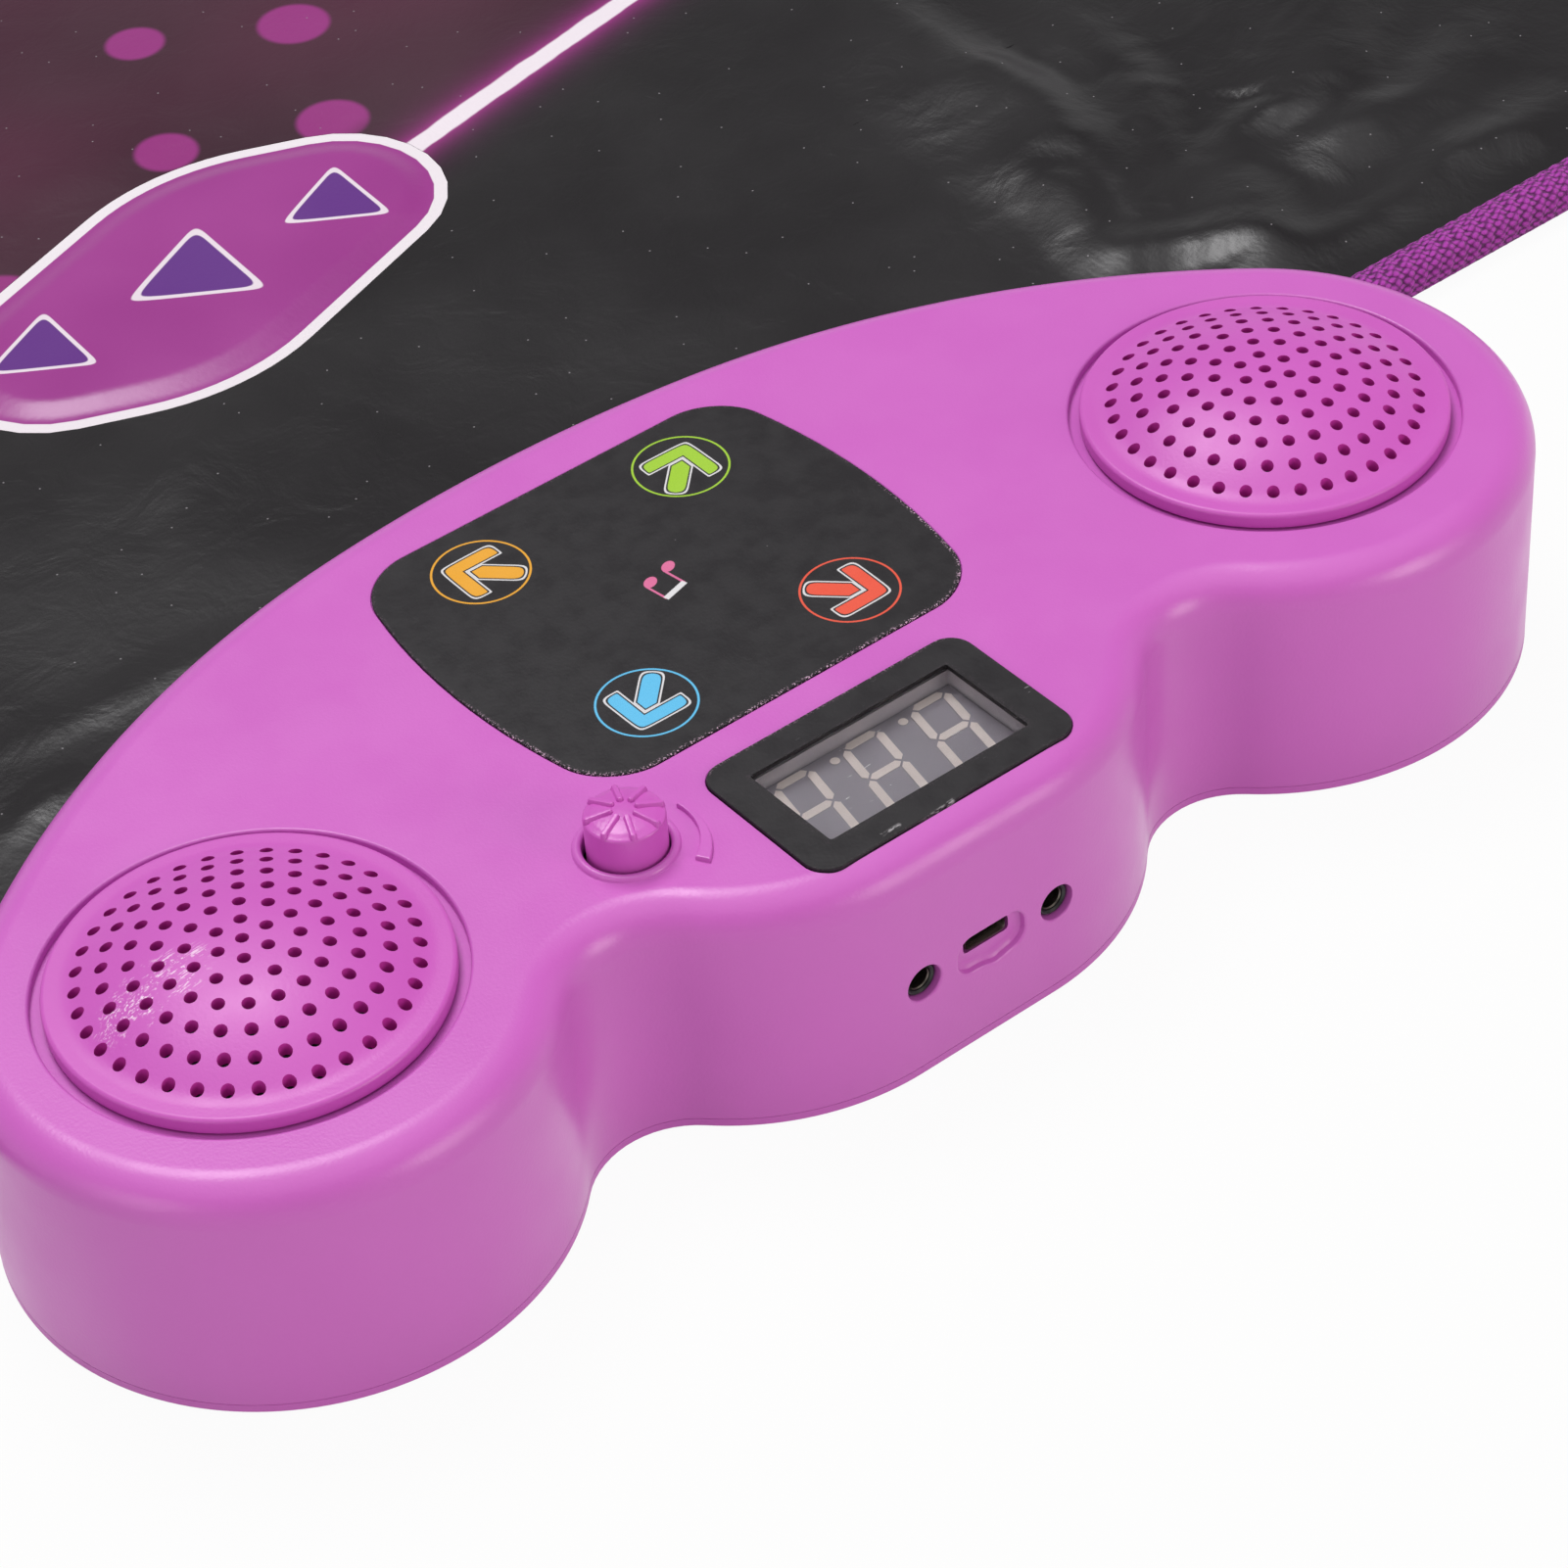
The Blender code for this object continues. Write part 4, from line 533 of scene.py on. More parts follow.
class Finish:
    """A new material with one Principled shader, and helpers to drive it."""

    def __init__(self, name, color, roughness, metallic=0.0, **sockets):
        self.material = bpy.data.materials.new(name)
        self.material.use_nodes = True
        self.tree = self.material.node_tree
        self.shader = self.tree.nodes["Principled BSDF"]
        self.shader.inputs["Base Color"].default_value = (*color, 1.0)
        self.shader.inputs["Roughness"].default_value = roughness
        self.shader.inputs["Metallic"].default_value = metallic
        self.material.diffuse_color = (*color, 1.0)
        for socket, value in sockets.items():
            self.shader.inputs[socket.replace("_", " ").title()].default_value = value
        self.paint = None

    def node(self, kind, inputs=None, **settings):
        made = self.tree.nodes.new(kind)
        for key, value in settings.items():
            setattr(made, key, value)
        for key, value in (inputs or {}).items():
            if isinstance(value, Field):
                value = value.socket
            if isinstance(value, bpy.types.NodeSocket):
                self.tree.links.new(value, made.inputs[key])
            else:
                made.inputs[key].default_value = value
        return made

    def place(self, uv=None, turn=0.0, stretch=(1.0, 1.0, 1.0), shift=(0.0, 0.0, 0.0)):
        """Object coordinates, or a UV map's, moved, turned and stretched."""
        if uv:
            source = self.node("ShaderNodeUVMap", uv_map=uv).outputs[0]
        else:
            source = self.node("ShaderNodeTexCoord").outputs["Object"]
        mapping = self.node("ShaderNodeMapping", {"Vector": source})
        mapping.inputs["Location"].default_value = shift
        mapping.inputs["Rotation"].default_value = (0.0, 0.0, turn)
        mapping.inputs["Scale"].default_value = stretch
        return mapping.outputs[0]

    def split(self, vector):
        node = self.node("ShaderNodeSeparateXYZ", {"Vector": vector})
        return [Field(self.tree, socket) for socket in node.outputs]

    def noise(self, vector, size, detail=3.0, roughness=0.5, distortion=0.0):
        """Cloudy noise, with spots about as large as the size."""
        node = self.node("ShaderNodeTexNoise", {"Vector": vector, "Scale": 1.0 / size,
                                                "Detail": detail, "Roughness": roughness,
                                                "Distortion": distortion})
        return Field(self.tree, node.outputs[0])

    def cells(self, vector, size, scatter=1.0, feature="F1", flat=False):
        node = self.node("ShaderNodeTexVoronoi", feature=feature,
                         voronoi_dimensions="2D" if flat else "3D")
        self.tree.links.new(vector, node.inputs["Vector"])
        node.inputs["Scale"].default_value = 1.0 / size
        node.inputs["Randomness"].default_value = scatter
        return node

    def attribute(self, name):
        node = self.node("ShaderNodeAttribute", attribute_name=name)
        return Field(self.tree, node.outputs["Fac"])

    def mix(self, first, second, factor):
        """Colours are tuples or sockets, the factor a field or a number."""
        node = self.node("ShaderNodeMix", data_type="RGBA")
        for slot, value in ((6, first), (7, second)):
            if isinstance(value, bpy.types.NodeSocket):
                self.tree.links.new(value, node.inputs[slot])
            else:
                node.inputs[slot].default_value = (*value, 1.0)
        if isinstance(factor, Field):
            self.tree.links.new(factor.socket, node.inputs[0])
        else:
            node.inputs[0].default_value = factor
        return node.outputs[2]

    def color(self, socket):
        self.tree.links.new(socket, self.shader.inputs["Base Color"])
        self.paint = socket
        return self

    def over_paint(self, color, factor):
        """Paints another colour over what is there."""
        base = self.paint
        if base is None:
            base = tuple(self.shader.inputs["Base Color"].default_value)[:3]
        return self.color(self.mix(base, color, factor))

    def rough(self, field):
        self.tree.links.new(field.socket, self.shader.inputs["Roughness"])
        return self

    def bump(self, field, height):
        """Adds relief that is this many metres high, on top of earlier relief."""
        earlier = self.shader.inputs["Normal"].links
        node = self.node("ShaderNodeBump", {"Strength": 1.0, "Distance": height, "Height": field})
        if earlier:
            self.tree.links.new(earlier[0].from_socket, node.inputs["Normal"])
        self.tree.links.new(node.outputs[0], self.shader.inputs["Normal"])
        return self


def tinted(color, factor):
    return tuple(min(1.0, channel * factor) for channel in color)


def plastic_finish(name, color, roughness=0.32):
    """Moulded plastic: a faint flow pattern and a very fine grain."""
    made = Finish(name, color, roughness)
    place = made.place()
    flow = made.noise(place, 0.03, 2.0)
    made.color(made.mix(tinted(color, 0.96), tinted(color, 1.04), flow))
    made.rough(made.noise(place, 0.012, 4.0).ramp(0.3, 0.7, roughness - 0.04, roughness + 0.05))
    grain = 0.00003
    made.bump(made.noise(place, 0.0005, 2.0), grain)
    return made


def grille_finish(color):
    """Plastic with pale rubs on the near dome."""
    made = plastic_finish("grille_plastic", color, 0.4)
    rub_center = Vector((SPEAKER_X + 0.0138, CONSOLE_Y - 0.0012, 0.0))
    x, y, _ = made.split(made.place(shift=-rub_center))
    reach = ((x * (1 / 0.0112)).math("POWER", 2.0) + (y * (1 / 0.0058)).math("POWER", 2.0))
    long_place = made.place(turn=radians(4.0), stretch=(0.055, 1.0, 1.0))
    cross_place = made.place(turn=radians(-22.0), stretch=(0.09, 1.0, 1.0))
    streaks = made.noise(long_place, 0.0003, 3.0, 0.6).ramp(0.56, 0.64)
    crossing = made.noise(cross_place, 0.00035, 3.0, 0.6).ramp(0.62, 0.68)
    chips = made.noise(made.place(), 0.0006, 3.0, 0.6).ramp(0.6, 0.66)
    patches = made.noise(made.place(), 0.0032, 4.0, 0.6).ramp(0.44, 0.54)
    rubbed = (reach.ramp(1.0, 0.3) * streaks.over(crossing).over(chips * 0.8)) * patches
    made.over_paint((1.0, 0.84, 0.97), rubbed * 0.85)
    return made.material


def film_finish(name, color, worn_y, fresh_y, wear):
    """Printed film, matt, with dust. Its edge is worn at one side and nearly fresh at the
    other."""
    made = Finish(name, color, 0.5)
    made.shader.inputs["Specular IOR Level"].default_value = 0.32
    place = made.place()
    _, y, _ = made.split(place)
    dust = made.cells(place, 0.009)
    speck = Field(made.tree, dust.outputs["Distance"]).ramp(0.016, 0.01)
    edge = made.attribute("edge").ramp(0.0008, 0.0001)
    share = y.ramp(worn_y, fresh_y, wear, wear * 0.12)
    nick = made.noise(place, 0.0003, 2.0, 0.6).ramp(0.56, 0.62)
    made.color(made.mix(tinted(color, 0.9), tinted(color, 1.12), made.noise(place, 0.006, 4.0)))
    made.over_paint((0.3, 0.28, 0.3), speck * 0.6)
    made.over_paint((0.68, 0.45, 0.6), (nick * edge) * share)
    made.rough(made.noise(place, 0.004, 4.0).ramp(0.3, 0.7, 0.34, 0.44))
    made.bump(made.noise(place, 0.0006, 2.0), 0.00002)
    return made


def reach_of(x, y):
    return (x.math("POWER", 2.0) + y.math("POWER", 2.0)).math("SQRT")


def arrow_masks(x, y):
    """Masks of one arrow that points along x, in millimetres: its colour, the dark gap round
    it and the white line round that."""
    side = abs(y)
    round_side = (y.math("POWER", 2.0) + 0.42).math("SQRT")
    root = sqrt(0.5)
    outer = (x + round_side - 6.75) * root
    inner = (x + side - 2.1) * root
    ends = (-(x - side) - 7.2) * root
    chevron = outer.soft_over(ends, 2.2).soft_over(-inner, 0.5)
    stem = (side - 1.9).soft_over(-x - 7.06, 2.4)
    whole = chevron.under(stem.over(inner))
    soft = 0.06
    white = whole.inside(0.0, soft)
    dark = whole.inside(-0.26, soft)
    color = (whole + 0.5).over(-(abs(inner) - 0.14)).inside(0.0, soft)
    return color, dark, white


def paint_arrow(made, x, y, color, ring):
    """Paints an arrow in a thin ring of this radius."""
    fill, dark, white = arrow_masks(x, y)
    made.over_paint(color, abs(reach_of(x, y) - ring).inside(0.17, 0.06))
    made.over_paint(PRINT_WHITE, white)
    made.over_paint(PRINT_DARK, dark)
    made.over_paint(color, fill)


def arrow_turn(spot, center):
    """The diagonal along which an arrow at this spot points away from the centre."""
    angle = atan2(spot.y - center.y, spot.x - center.x)
    return round((angle - pi / 4) / (pi / 2)) * pi / 2 + pi / 4


def turned_place(x, y, center, angle, scale):
    """Fields x and y seen from a centre, turned so that x runs along the angle."""
    dx = (x - center[0]) * scale
    dy = (y - center[1]) * scale
    return (dx * cos(angle) + dy * sin(angle), dy * cos(angle) - dx * sin(angle))


def ellipse_mask(x, y, center, radii, turn, soft):
    dx = x - center[0]
    dy = y - center[1]
    along = (dx * cos(turn) + dy * sin(turn)) * (1 / radii[0])
    across = (dy * cos(turn) - dx * sin(turn)) * (1 / radii[1])
    return reach_of(along, across).inside(1.0, soft / min(radii))


def bar_mask(x, y, a, b, half, soft=0.06):
    """A straight bar from a to b."""
    angle = atan2(b[1] - a[1], b[0] - a[0])
    reach = hypot(b[0] - a[0], b[1] - a[1])
    along, across = turned_place(x, y, ((a[0] + b[0]) / 2, (a[1] + b[1]) / 2), angle, 1.0)
    return (abs(along) - reach / 2).over(abs(across) - half).inside(0.0, soft)


def panel_finish(finish):
    """The arrow panel: black film with four ringed arrows and a pair of notes."""
    made = film_finish("arrow_film", tuple(finish.film), PANEL_CENTER.y + 0.014,
                       PANEL_CENTER.y - 0.002, 1.0)
    x, y, _ = made.split(made.place())
    spots = {name: middle(f"arrow_light_{name}") for name in CORNER_PADS}
    center = sum(spots.values(), Vector()) / 4
    for name, spot in spots.items():
        ax, ay = turned_place(x, y, spot, arrow_turn(spot, center), 1000.0)
        paint_arrow(made, ax, ay, tuple(getattr(finish, name)), 7.5)
    nx, ny = turned_place(x, y, (-0.0006, PANEL_CENTER.y - 0.0003), radians(8.0), 1000.0)
    pink = (0.72, 0.16, 0.34)
    heads = ellipse_mask(nx, ny, (-2.2, -2.0), (1.35, 0.95), 0.4, 0.06)
    heads = heads.over(ellipse_mask(nx, ny, (2.2, -1.4), (1.35, 0.95), 0.4, 0.06))
    stems = bar_mask(nx, ny, (-1.05, -1.8), (-1.05, 2.6), 0.2)
    stems = stems.over(bar_mask(nx, ny, (3.35, -1.2), (3.35, 3.2), 0.2))
    beam = bar_mask(nx, ny, (-1.15, 2.5), (3.45, 3.1), 0.5)
    made.over_paint(pink, heads.over(stems))
    made.over_paint(PRINT_WHITE, beam)
    return made.material


def bezel_finish(finish):
    """Black film round the display, with a few scuffs."""
    made = film_finish("bezel_film", tuple(finish.film), BEZEL_CENTER.y - 0.014,
                       BEZEL_CENTER.y - 0.012, 0.35)
    scuff_place = made.place(turn=radians(35.0), stretch=(0.15, 1.0, 1.0))
    streak = made.noise(scuff_place, 0.0005, 3.0, 0.6).ramp(0.66, 0.72)
    patch = made.noise(made.place(), 0.005, 2.0).ramp(0.58, 0.66)
    made.over_paint((0.26, 0.24, 0.26), streak * patch)
    x, y, _ = made.split(made.place())
    scuffs = (((0.0066, 0.0378), (0.0002, 0.0372)), ((0.0122, 0.0361), (0.009, 0.0361)))
    for ends in scuffs:
        a, b = ((px * 1000, (CONSOLE_Y + py) * 1000) for px, py in ends)
        stroke = bar_mask(x * 1000.0, y * 1000.0, a, b, 0.22, 0.3)
        chips = made.noise(made.place(turn=0.1, stretch=(0.3, 1.0, 1.0)), 0.0003, 3.0,
                           0.6).ramp(0.44, 0.56)
        made.over_paint((0.42, 0.4, 0.42), stroke * chips)
    return made.material


def glass_finish():
    """Clear window with a few fine scratches."""
    made = Finish("window_clear", (0.93, 0.93, 0.94), 0.03, transmission_weight=1.0)
    made.shader.inputs["IOR"].default_value = 1.3
    place = made.place(turn=radians(30.0), stretch=(0.1, 1.0, 1.0))
    scratch = made.noise(place, 0.0004, 3.0, 0.6).ramp(0.7, 0.76)
    made.rough(scratch.ramp(0.0, 1.0, 0.02, 0.4))
    return made.material


def mottled_finish(name, color, roughness, low, high, size, grain=0.0, relief=0.0, **sockets):
    """A plain surface whose colour wanders a little, with a fine relief where one is given."""
    made = Finish(name, color, roughness, **sockets)
    place = made.place()
    made.color(made.mix(low, high, made.noise(place, size)))
    if grain:
        made.bump(made.noise(place, grain), relief)
    return made.material


def vinyl_base(name, color, relief=0.0003):
    """Satin vinyl: soft uneven gloss and relief, on the piece's own map."""
    made = Finish(name, color, 0.36)
    place = made.place("print")
    made.rough(made.noise(place, 0.05, 3.0).ramp(0.3, 0.7, 0.27, 0.36))
    made.bump(made.noise(place, 0.0011, 3.0, 0.6), 0.00003)
    made.bump(made.noise(place, 0.012, 4.0, 0.55, 0.6), relief)
    return made


def zone_distance(made, x, y):
    """Distance from the neon border of the dance field: below 0 inside it."""
    center_x = (PAD_LOW.x + PAD_HIGH.x) / 2
    border_y = CONSOLE_Y - 0.1886
    slope = 0.2235
    lean = cos(atan2(slope, 1.0))
    edge = 0.037
    rounding = 0.09
    top = (y + abs(x - center_x) * slope - border_y) * lean
    side = abs(x) - (MAT_HALF_X - edge)
    front = -y + (MAT_FRONT + edge)
    ragged = made.noise(made.place("print"), 0.007, 2.0) * 0.0009
    return top.soft_over(side, rounding).soft_over(front, rounding) + ragged


def cover_finish(finish):
    """The printed cover: black round the console, a dark field with dots inside a neon line."""
    vinyl = tuple(finish.vinyl)
    glow = tuple(finish.glow)
    made = vinyl_base("printed_vinyl", vinyl)
    place = made.place("print")
    x, y, _ = made.split(place)
    distance = zone_distance(made, x, y)
    cloud = made.noise(place, 0.16, 2.0)
    deep = made.mix((0.046, 0.009, 0.024), (0.095, 0.018, 0.048), cloud.ramp(0.35, 0.65))
    dim = distance.ramp(-0.001, -0.05, 0.55, 1.0)
    made.color(made.mix(vinyl, deep, distance.ramp(0.0, -0.004) * dim))
    near = (abs(distance) - 0.0022).over(0.0)
    halo = (near * -420.0).math("EXPONENT")
    dots = made.cells(made.place("print", turn=0.4), 0.034, 0.3, flat=True)
    spread = Field(made.tree, dots.outputs["Distance"])
    pick = Field(made.tree, made.node("ShaderNodeSeparateColor",
                                      {"Color": dots.outputs["Color"]}).outputs[0])
    size = pick.ramp(0.0, 1.0, 0.14, 0.24, False)
    dot = (spread - size).inside(0.0, 0.022) * pick.ramp(0.2, 0.25)
    dot = dot * (distance + 0.012).inside(0.0, 0.004)
    made.over_paint(glow, dot * 0.9)
    made.over_paint(glow, halo * 0.9)
    made.over_paint((0.88, 0.8, 0.87), (abs(distance) - 0.0021).inside(0.0, 0.0003))
    dust = Field(made.tree, made.cells(place, 0.014, flat=True).outputs["Distance"])
    made.over_paint((0.35, 0.33, 0.35), dust.ramp(0.014, 0.009) * 0.7)
    return made.material


def label_finish(finish):
    """The start pad: magenta ground, white outline and three plain play marks."""
    ground = tuple(finish.label)
    made = vinyl_base("start_print", ground, 0.00012)
    x, y, _ = made.split(made.place("print"))
    cloud = made.noise(made.place("print"), 0.05, 2.0)
    made.color(made.mix(tinted(ground, 0.85), tinted(ground, 1.15), cloud))
    center = (PAD_LOW + PAD_HIGH) / 2
    for shift, size in ((-0.031, 0.8), (0.0, 1.0), (0.033, 0.8)):
        spot = (center.x + shift, center.y + shift * 0.04)
        px, py = turned_place(x, y, spot, radians(-3.0), 1000.0 / size)
        side = (py.math("POWER", 2.0) + 1.2).math("SQRT")
        play = (px * 0.5 + side * cos(radians(30.0)) - 6.5).soft_over(-px - 6.5, 4.0)
        made.over_paint((0.84, 0.74, 0.82), play.inside(1.0, 0.12))
        made.over_paint((0.13, 0.03, 0.25), play.inside(0.0, 0.12))
    rim = made.attribute("edge")
    made.over_paint((0.88, 0.82, 0.87), rim.ramp(0.00255, 0.00235))
    return made.material


def pad_finish(finish, name):
    """A corner pad: dark ground, a line in its colour and a large arrow."""
    color = tuple(getattr(finish, name))
    made = vinyl_base(f"{name}_print", tinted(color, 0.08), 0.0002)
    x, y, _ = made.split(made.place("print"))
    center = middle(f"step_pad_{name}")
    spread = made.noise(made.place("print"), 0.08, 2.0)
    made.color(made.mix(tinted(color, 0.05), tinted(color, 0.13), spread))
    field = sum((middle(f"step_pad_{other}") for other in CORNER_PADS), Vector()) / 4
    scale = 105.0
    ax, ay = turned_place(x, y, center, arrow_turn(center, field), scale)
    paint_arrow(made, ax, ay, color, 7.6)
    rim = made.attribute("edge")
    made.over_paint(color, rim.ramp(0.0085, 0.0075) * rim.ramp(0.0035, 0.0045))
    return made.material


def tape_finish(finish):
    """Woven binding tape: chevron ribs of thick yarn, on a map that follows the edge."""
    color = tuple(finish.tape)
    made = Finish("woven_tape", color, 0.8, sheen_weight=0.12, sheen_roughness=0.4)
    made.shader.inputs["Specular IOR Level"].default_value = 0.3
    u, v, _ = made.split(made.place("tape"))
    slanted = made.place("tape", turn=radians(32.0), stretch=(0.72, 1.0, 1.0))
    stitch = Field(made.tree, made.cells(slanted, 0.0011, 0.22, flat=True).outputs["Distance"])
    loops = stitch.ramp(0.68, 0.2)
    cord = (u + v * CORD_LEAN).sine(CORD_PITCH) * 0.5 + 0.5
    fibre_relief_and_glint = made.noise(made.place("tape"), 0.0004, 3.0, 0.7)
    weave_relief_and_shade = loops * 0.75 + cord * 0.25
    # Darker where the weave is low and lighter on its crowns: painted shade between the yarn loops
    # and painted light on them.
    made.color(made.mix(tinted(color, 0.3), tinted(color, 1.25), weave_relief_and_shade.ramp(0.05, 0.8)))
    # Lighter flecks on the raised fibres of the loop crowns: painted highlight.
    made.over_paint(tinted(color, 2.2), fibre_relief_and_glint.ramp(0.56, 0.7) * loops * 0.5)
    made.bump(weave_relief_and_shade, 0.0006)
    made.bump(fibre_relief_and_glint, 0.0002)
    return made.material


def cloth_finish(name, color, uv=None):
    """Plain woven backing, with painted shade between the threads."""
    made = Finish(name, color, 0.9)
    x, y, _ = made.split(made.place(uv))
    thread = 0.0012
    weave_relief_and_shade = (x.sine(thread) * y.sine(thread)) * 0.5 + 0.5
    # Darker where the threads dip and lighter where they rise: painted shade.
    made.color(made.mix(tinted(color, 0.7), tinted(color, 1.4), weave_relief_and_shade))
    made.bump(weave_relief_and_shade, 0.0001)
    return made.material


def metal_finish(name="brushed_steel", color=(0.56, 0.56, 0.57)):
    made = Finish(name, color, 0.32, 1.0)
    place = made.place(stretch=(1.0, 12.0, 1.0))
    made.rough(made.noise(place, 0.002, 4.0).ramp(0.3, 0.7, 0.24, 0.45))
    made.bump(made.noise(place, 0.0006, 2.0), 0.00002)
    return made.material


def board_finish():
    """Green circuit board with tracks."""
    made = Finish("board_green", (0.02, 0.14, 0.05), 0.4)
    place = made.place()
    tracks = Field(made.tree, made.cells(place, 0.004, 1.0, "DISTANCE_TO_EDGE").outputs[0])
    made.color(made.mix((0.05, 0.26, 0.09), (0.015, 0.1, 0.035), tracks.ramp(0.03, 0.07)))
    return made.material


def foam_finish():
    made = Finish("grey_foam", (0.1, 0.1, 0.105), 0.9)
    place = made.place()
    cells = Field(made.tree, made.cells(place, 0.0015).outputs[0])
    # Darker in the pits of the cells, where the bump is low: painted shade in the pores.
    made.color(made.mix((0.075, 0.075, 0.08), (0.125, 0.125, 0.13), cells))
    made.bump(cells, 0.0003)
    return made.material


def cell_finish():
    """Battery wrap: dark sleeve with a copper-coloured band at the button end."""
    made = Finish("cell_sleeve", (0.03, 0.035, 0.05), 0.35, 0.2)
    low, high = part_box("battery_cell_1")
    _, y, _ = made.split(made.place())
    band = (y - (high.y - (high.y - low.y) * 0.28)).ramp(-0.0002, 0.0002)
    fine = made.noise(made.place(), 0.004, 3.0)
    made.color(made.mix((0.025, 0.03, 0.04), (0.045, 0.05, 0.07), fine))
    made.over_paint((0.55, 0.27, 0.09), band)
    return made.material


# Stage

class DANCEMAT_OT_stage(Operator):
    """Adds the pale floor, the soft lights and the camera"""
    bl_idname = "dance_mat.stage"
    bl_label = "Stage"

    def execute(self, context):
        scene = context.scene
        scene.view_settings.view_transform = "Standard"
        self.add_floor(scene)
        self.add_world(scene)
        self.add_lights(scene)
        self.add_camera(scene)
        return {"FINISHED"}

    def add_floor(self, scene):
        bm = bmesh.new()
        bmesh.ops.create_grid(bm, x_segments=1, y_segments=1, size=6.0)
        floor = bpy.data.objects.new("floor", mesh_of(bm, "floor"))
        scene.collection.objects.link(floor)
        material = bpy.data.materials.new("pale_floor")
        material.use_nodes = True
        tree = material.node_tree
        tree.nodes.remove(tree.nodes["Principled BSDF"])
        output = tree.nodes["Material Output"]
        matt = tree.nodes.new("ShaderNodeBsdfDiffuse")
        matt.inputs["Color"].default_value = (0.66, 0.66, 0.64, 1.0)
        white = tree.nodes.new("ShaderNodeEmission")
        white.inputs["Strength"].default_value = 1.0
        path = tree.nodes.new("ShaderNodeLightPath").outputs
        camera, glossy, through = (Field(tree, path[f"Is {kind} Ray"])
                                   for kind in ("Camera", "Glossy", "Transmission"))
        share = camera.over(glossy).over(through) * 0.95
        mixed = tree.nodes.new("ShaderNodeMixShader")
        tree.links.new(share.socket, mixed.inputs[0])
        tree.links.new(matt.outputs[0], mixed.inputs[1])
        tree.links.new(white.outputs[0], mixed.inputs[2])
        tree.links.new(mixed.outputs[0], output.inputs["Surface"])
        floor.data.materials.append(material)

    def add_world(self, scene):
        """A soft room: pale at the horizon, greyer above it, bright overhead."""
        world = bpy.data.worlds.new("studio")
        scene.world = world
        world.use_nodes = True
        tree = world.node_tree
        soft = tree.nodes["Background"]
        place = tree.nodes.new("ShaderNodeTexCoord")
        parts = tree.nodes.new("ShaderNodeSeparateXYZ")
        ramp = tree.nodes.new("ShaderNodeValToRGB")
        tree.links.new(place.outputs["Generated"], parts.inputs[0])
        tree.links.new(parts.outputs["Z"], ramp.inputs[0])
        tree.links.new(ramp.outputs[0], soft.inputs["Color"])
        stops = ramp.color_ramp.elements
        stops[0].position = 0.0
        stops[0].color = (0.6, 0.6, 0.6, 1.0)
        stops[1].position = 1.0
        stops[1].color = (1.25, 1.25, 1.25, 1.0)
        for position, grey in ((0.3, 0.38), (0.5, 0.2), (0.56, 0.11), (0.7, 0.1), (0.8, 0.7)):
            stops.new(position).color = (grey, grey, grey, 1.0)

    def add_lights(self, scene):
        """A large light overhead and a softbox on either side of the camera."""
        target = Vector((0.0, CONSOLE_Y, 0.0))
        warm = (1.0, 0.95, 0.86)
        lights = (("overhead", (-0.15, -0.92, 2.0), 1.0, 23.0, (1.0, 0.99, 1.0)),
                  ("right_softbox", (-0.62, 1.5, 0.52), 0.8, 8.0, warm),
                  ("left_softbox", (1.58, 0.26, 0.56), 0.9, 3.6, warm))
        for name, place, size, power, color in lights:
            light = bpy.data.lights.new(name, "AREA")
            light.shape = "DISK"
            light.size = size
            light.energy = power
            light.color = color
            lamp = bpy.data.objects.new(name, light)
            lamp.location = target + Vector(place)
            lamp.rotation_euler = Vector(place).to_track_quat("Z", "Y").to_euler()
            scene.collection.objects.link(lamp)

    def add_camera(self, scene):
        data = bpy.data.cameras.new("camera")
        data.lens = 104.8
        data.sensor_width = 36.0
        camera = bpy.data.objects.new("camera", data)
        ahead = Vector((-0.43889, -0.61084, -0.65897))
        up = Vector((-0.44759, -0.48729, 0.74981))
        right = ahead.cross(up).normalized()
        up = right.cross(ahead)
        turn = Matrix((right, up, -ahead)).transposed()
        camera.matrix_world = Matrix.Translation((0.29834, 0.81304, 0.46686)) @ turn.to_4x4()
        scene.collection.objects.link(camera)
        scene.camera = camera


# Console

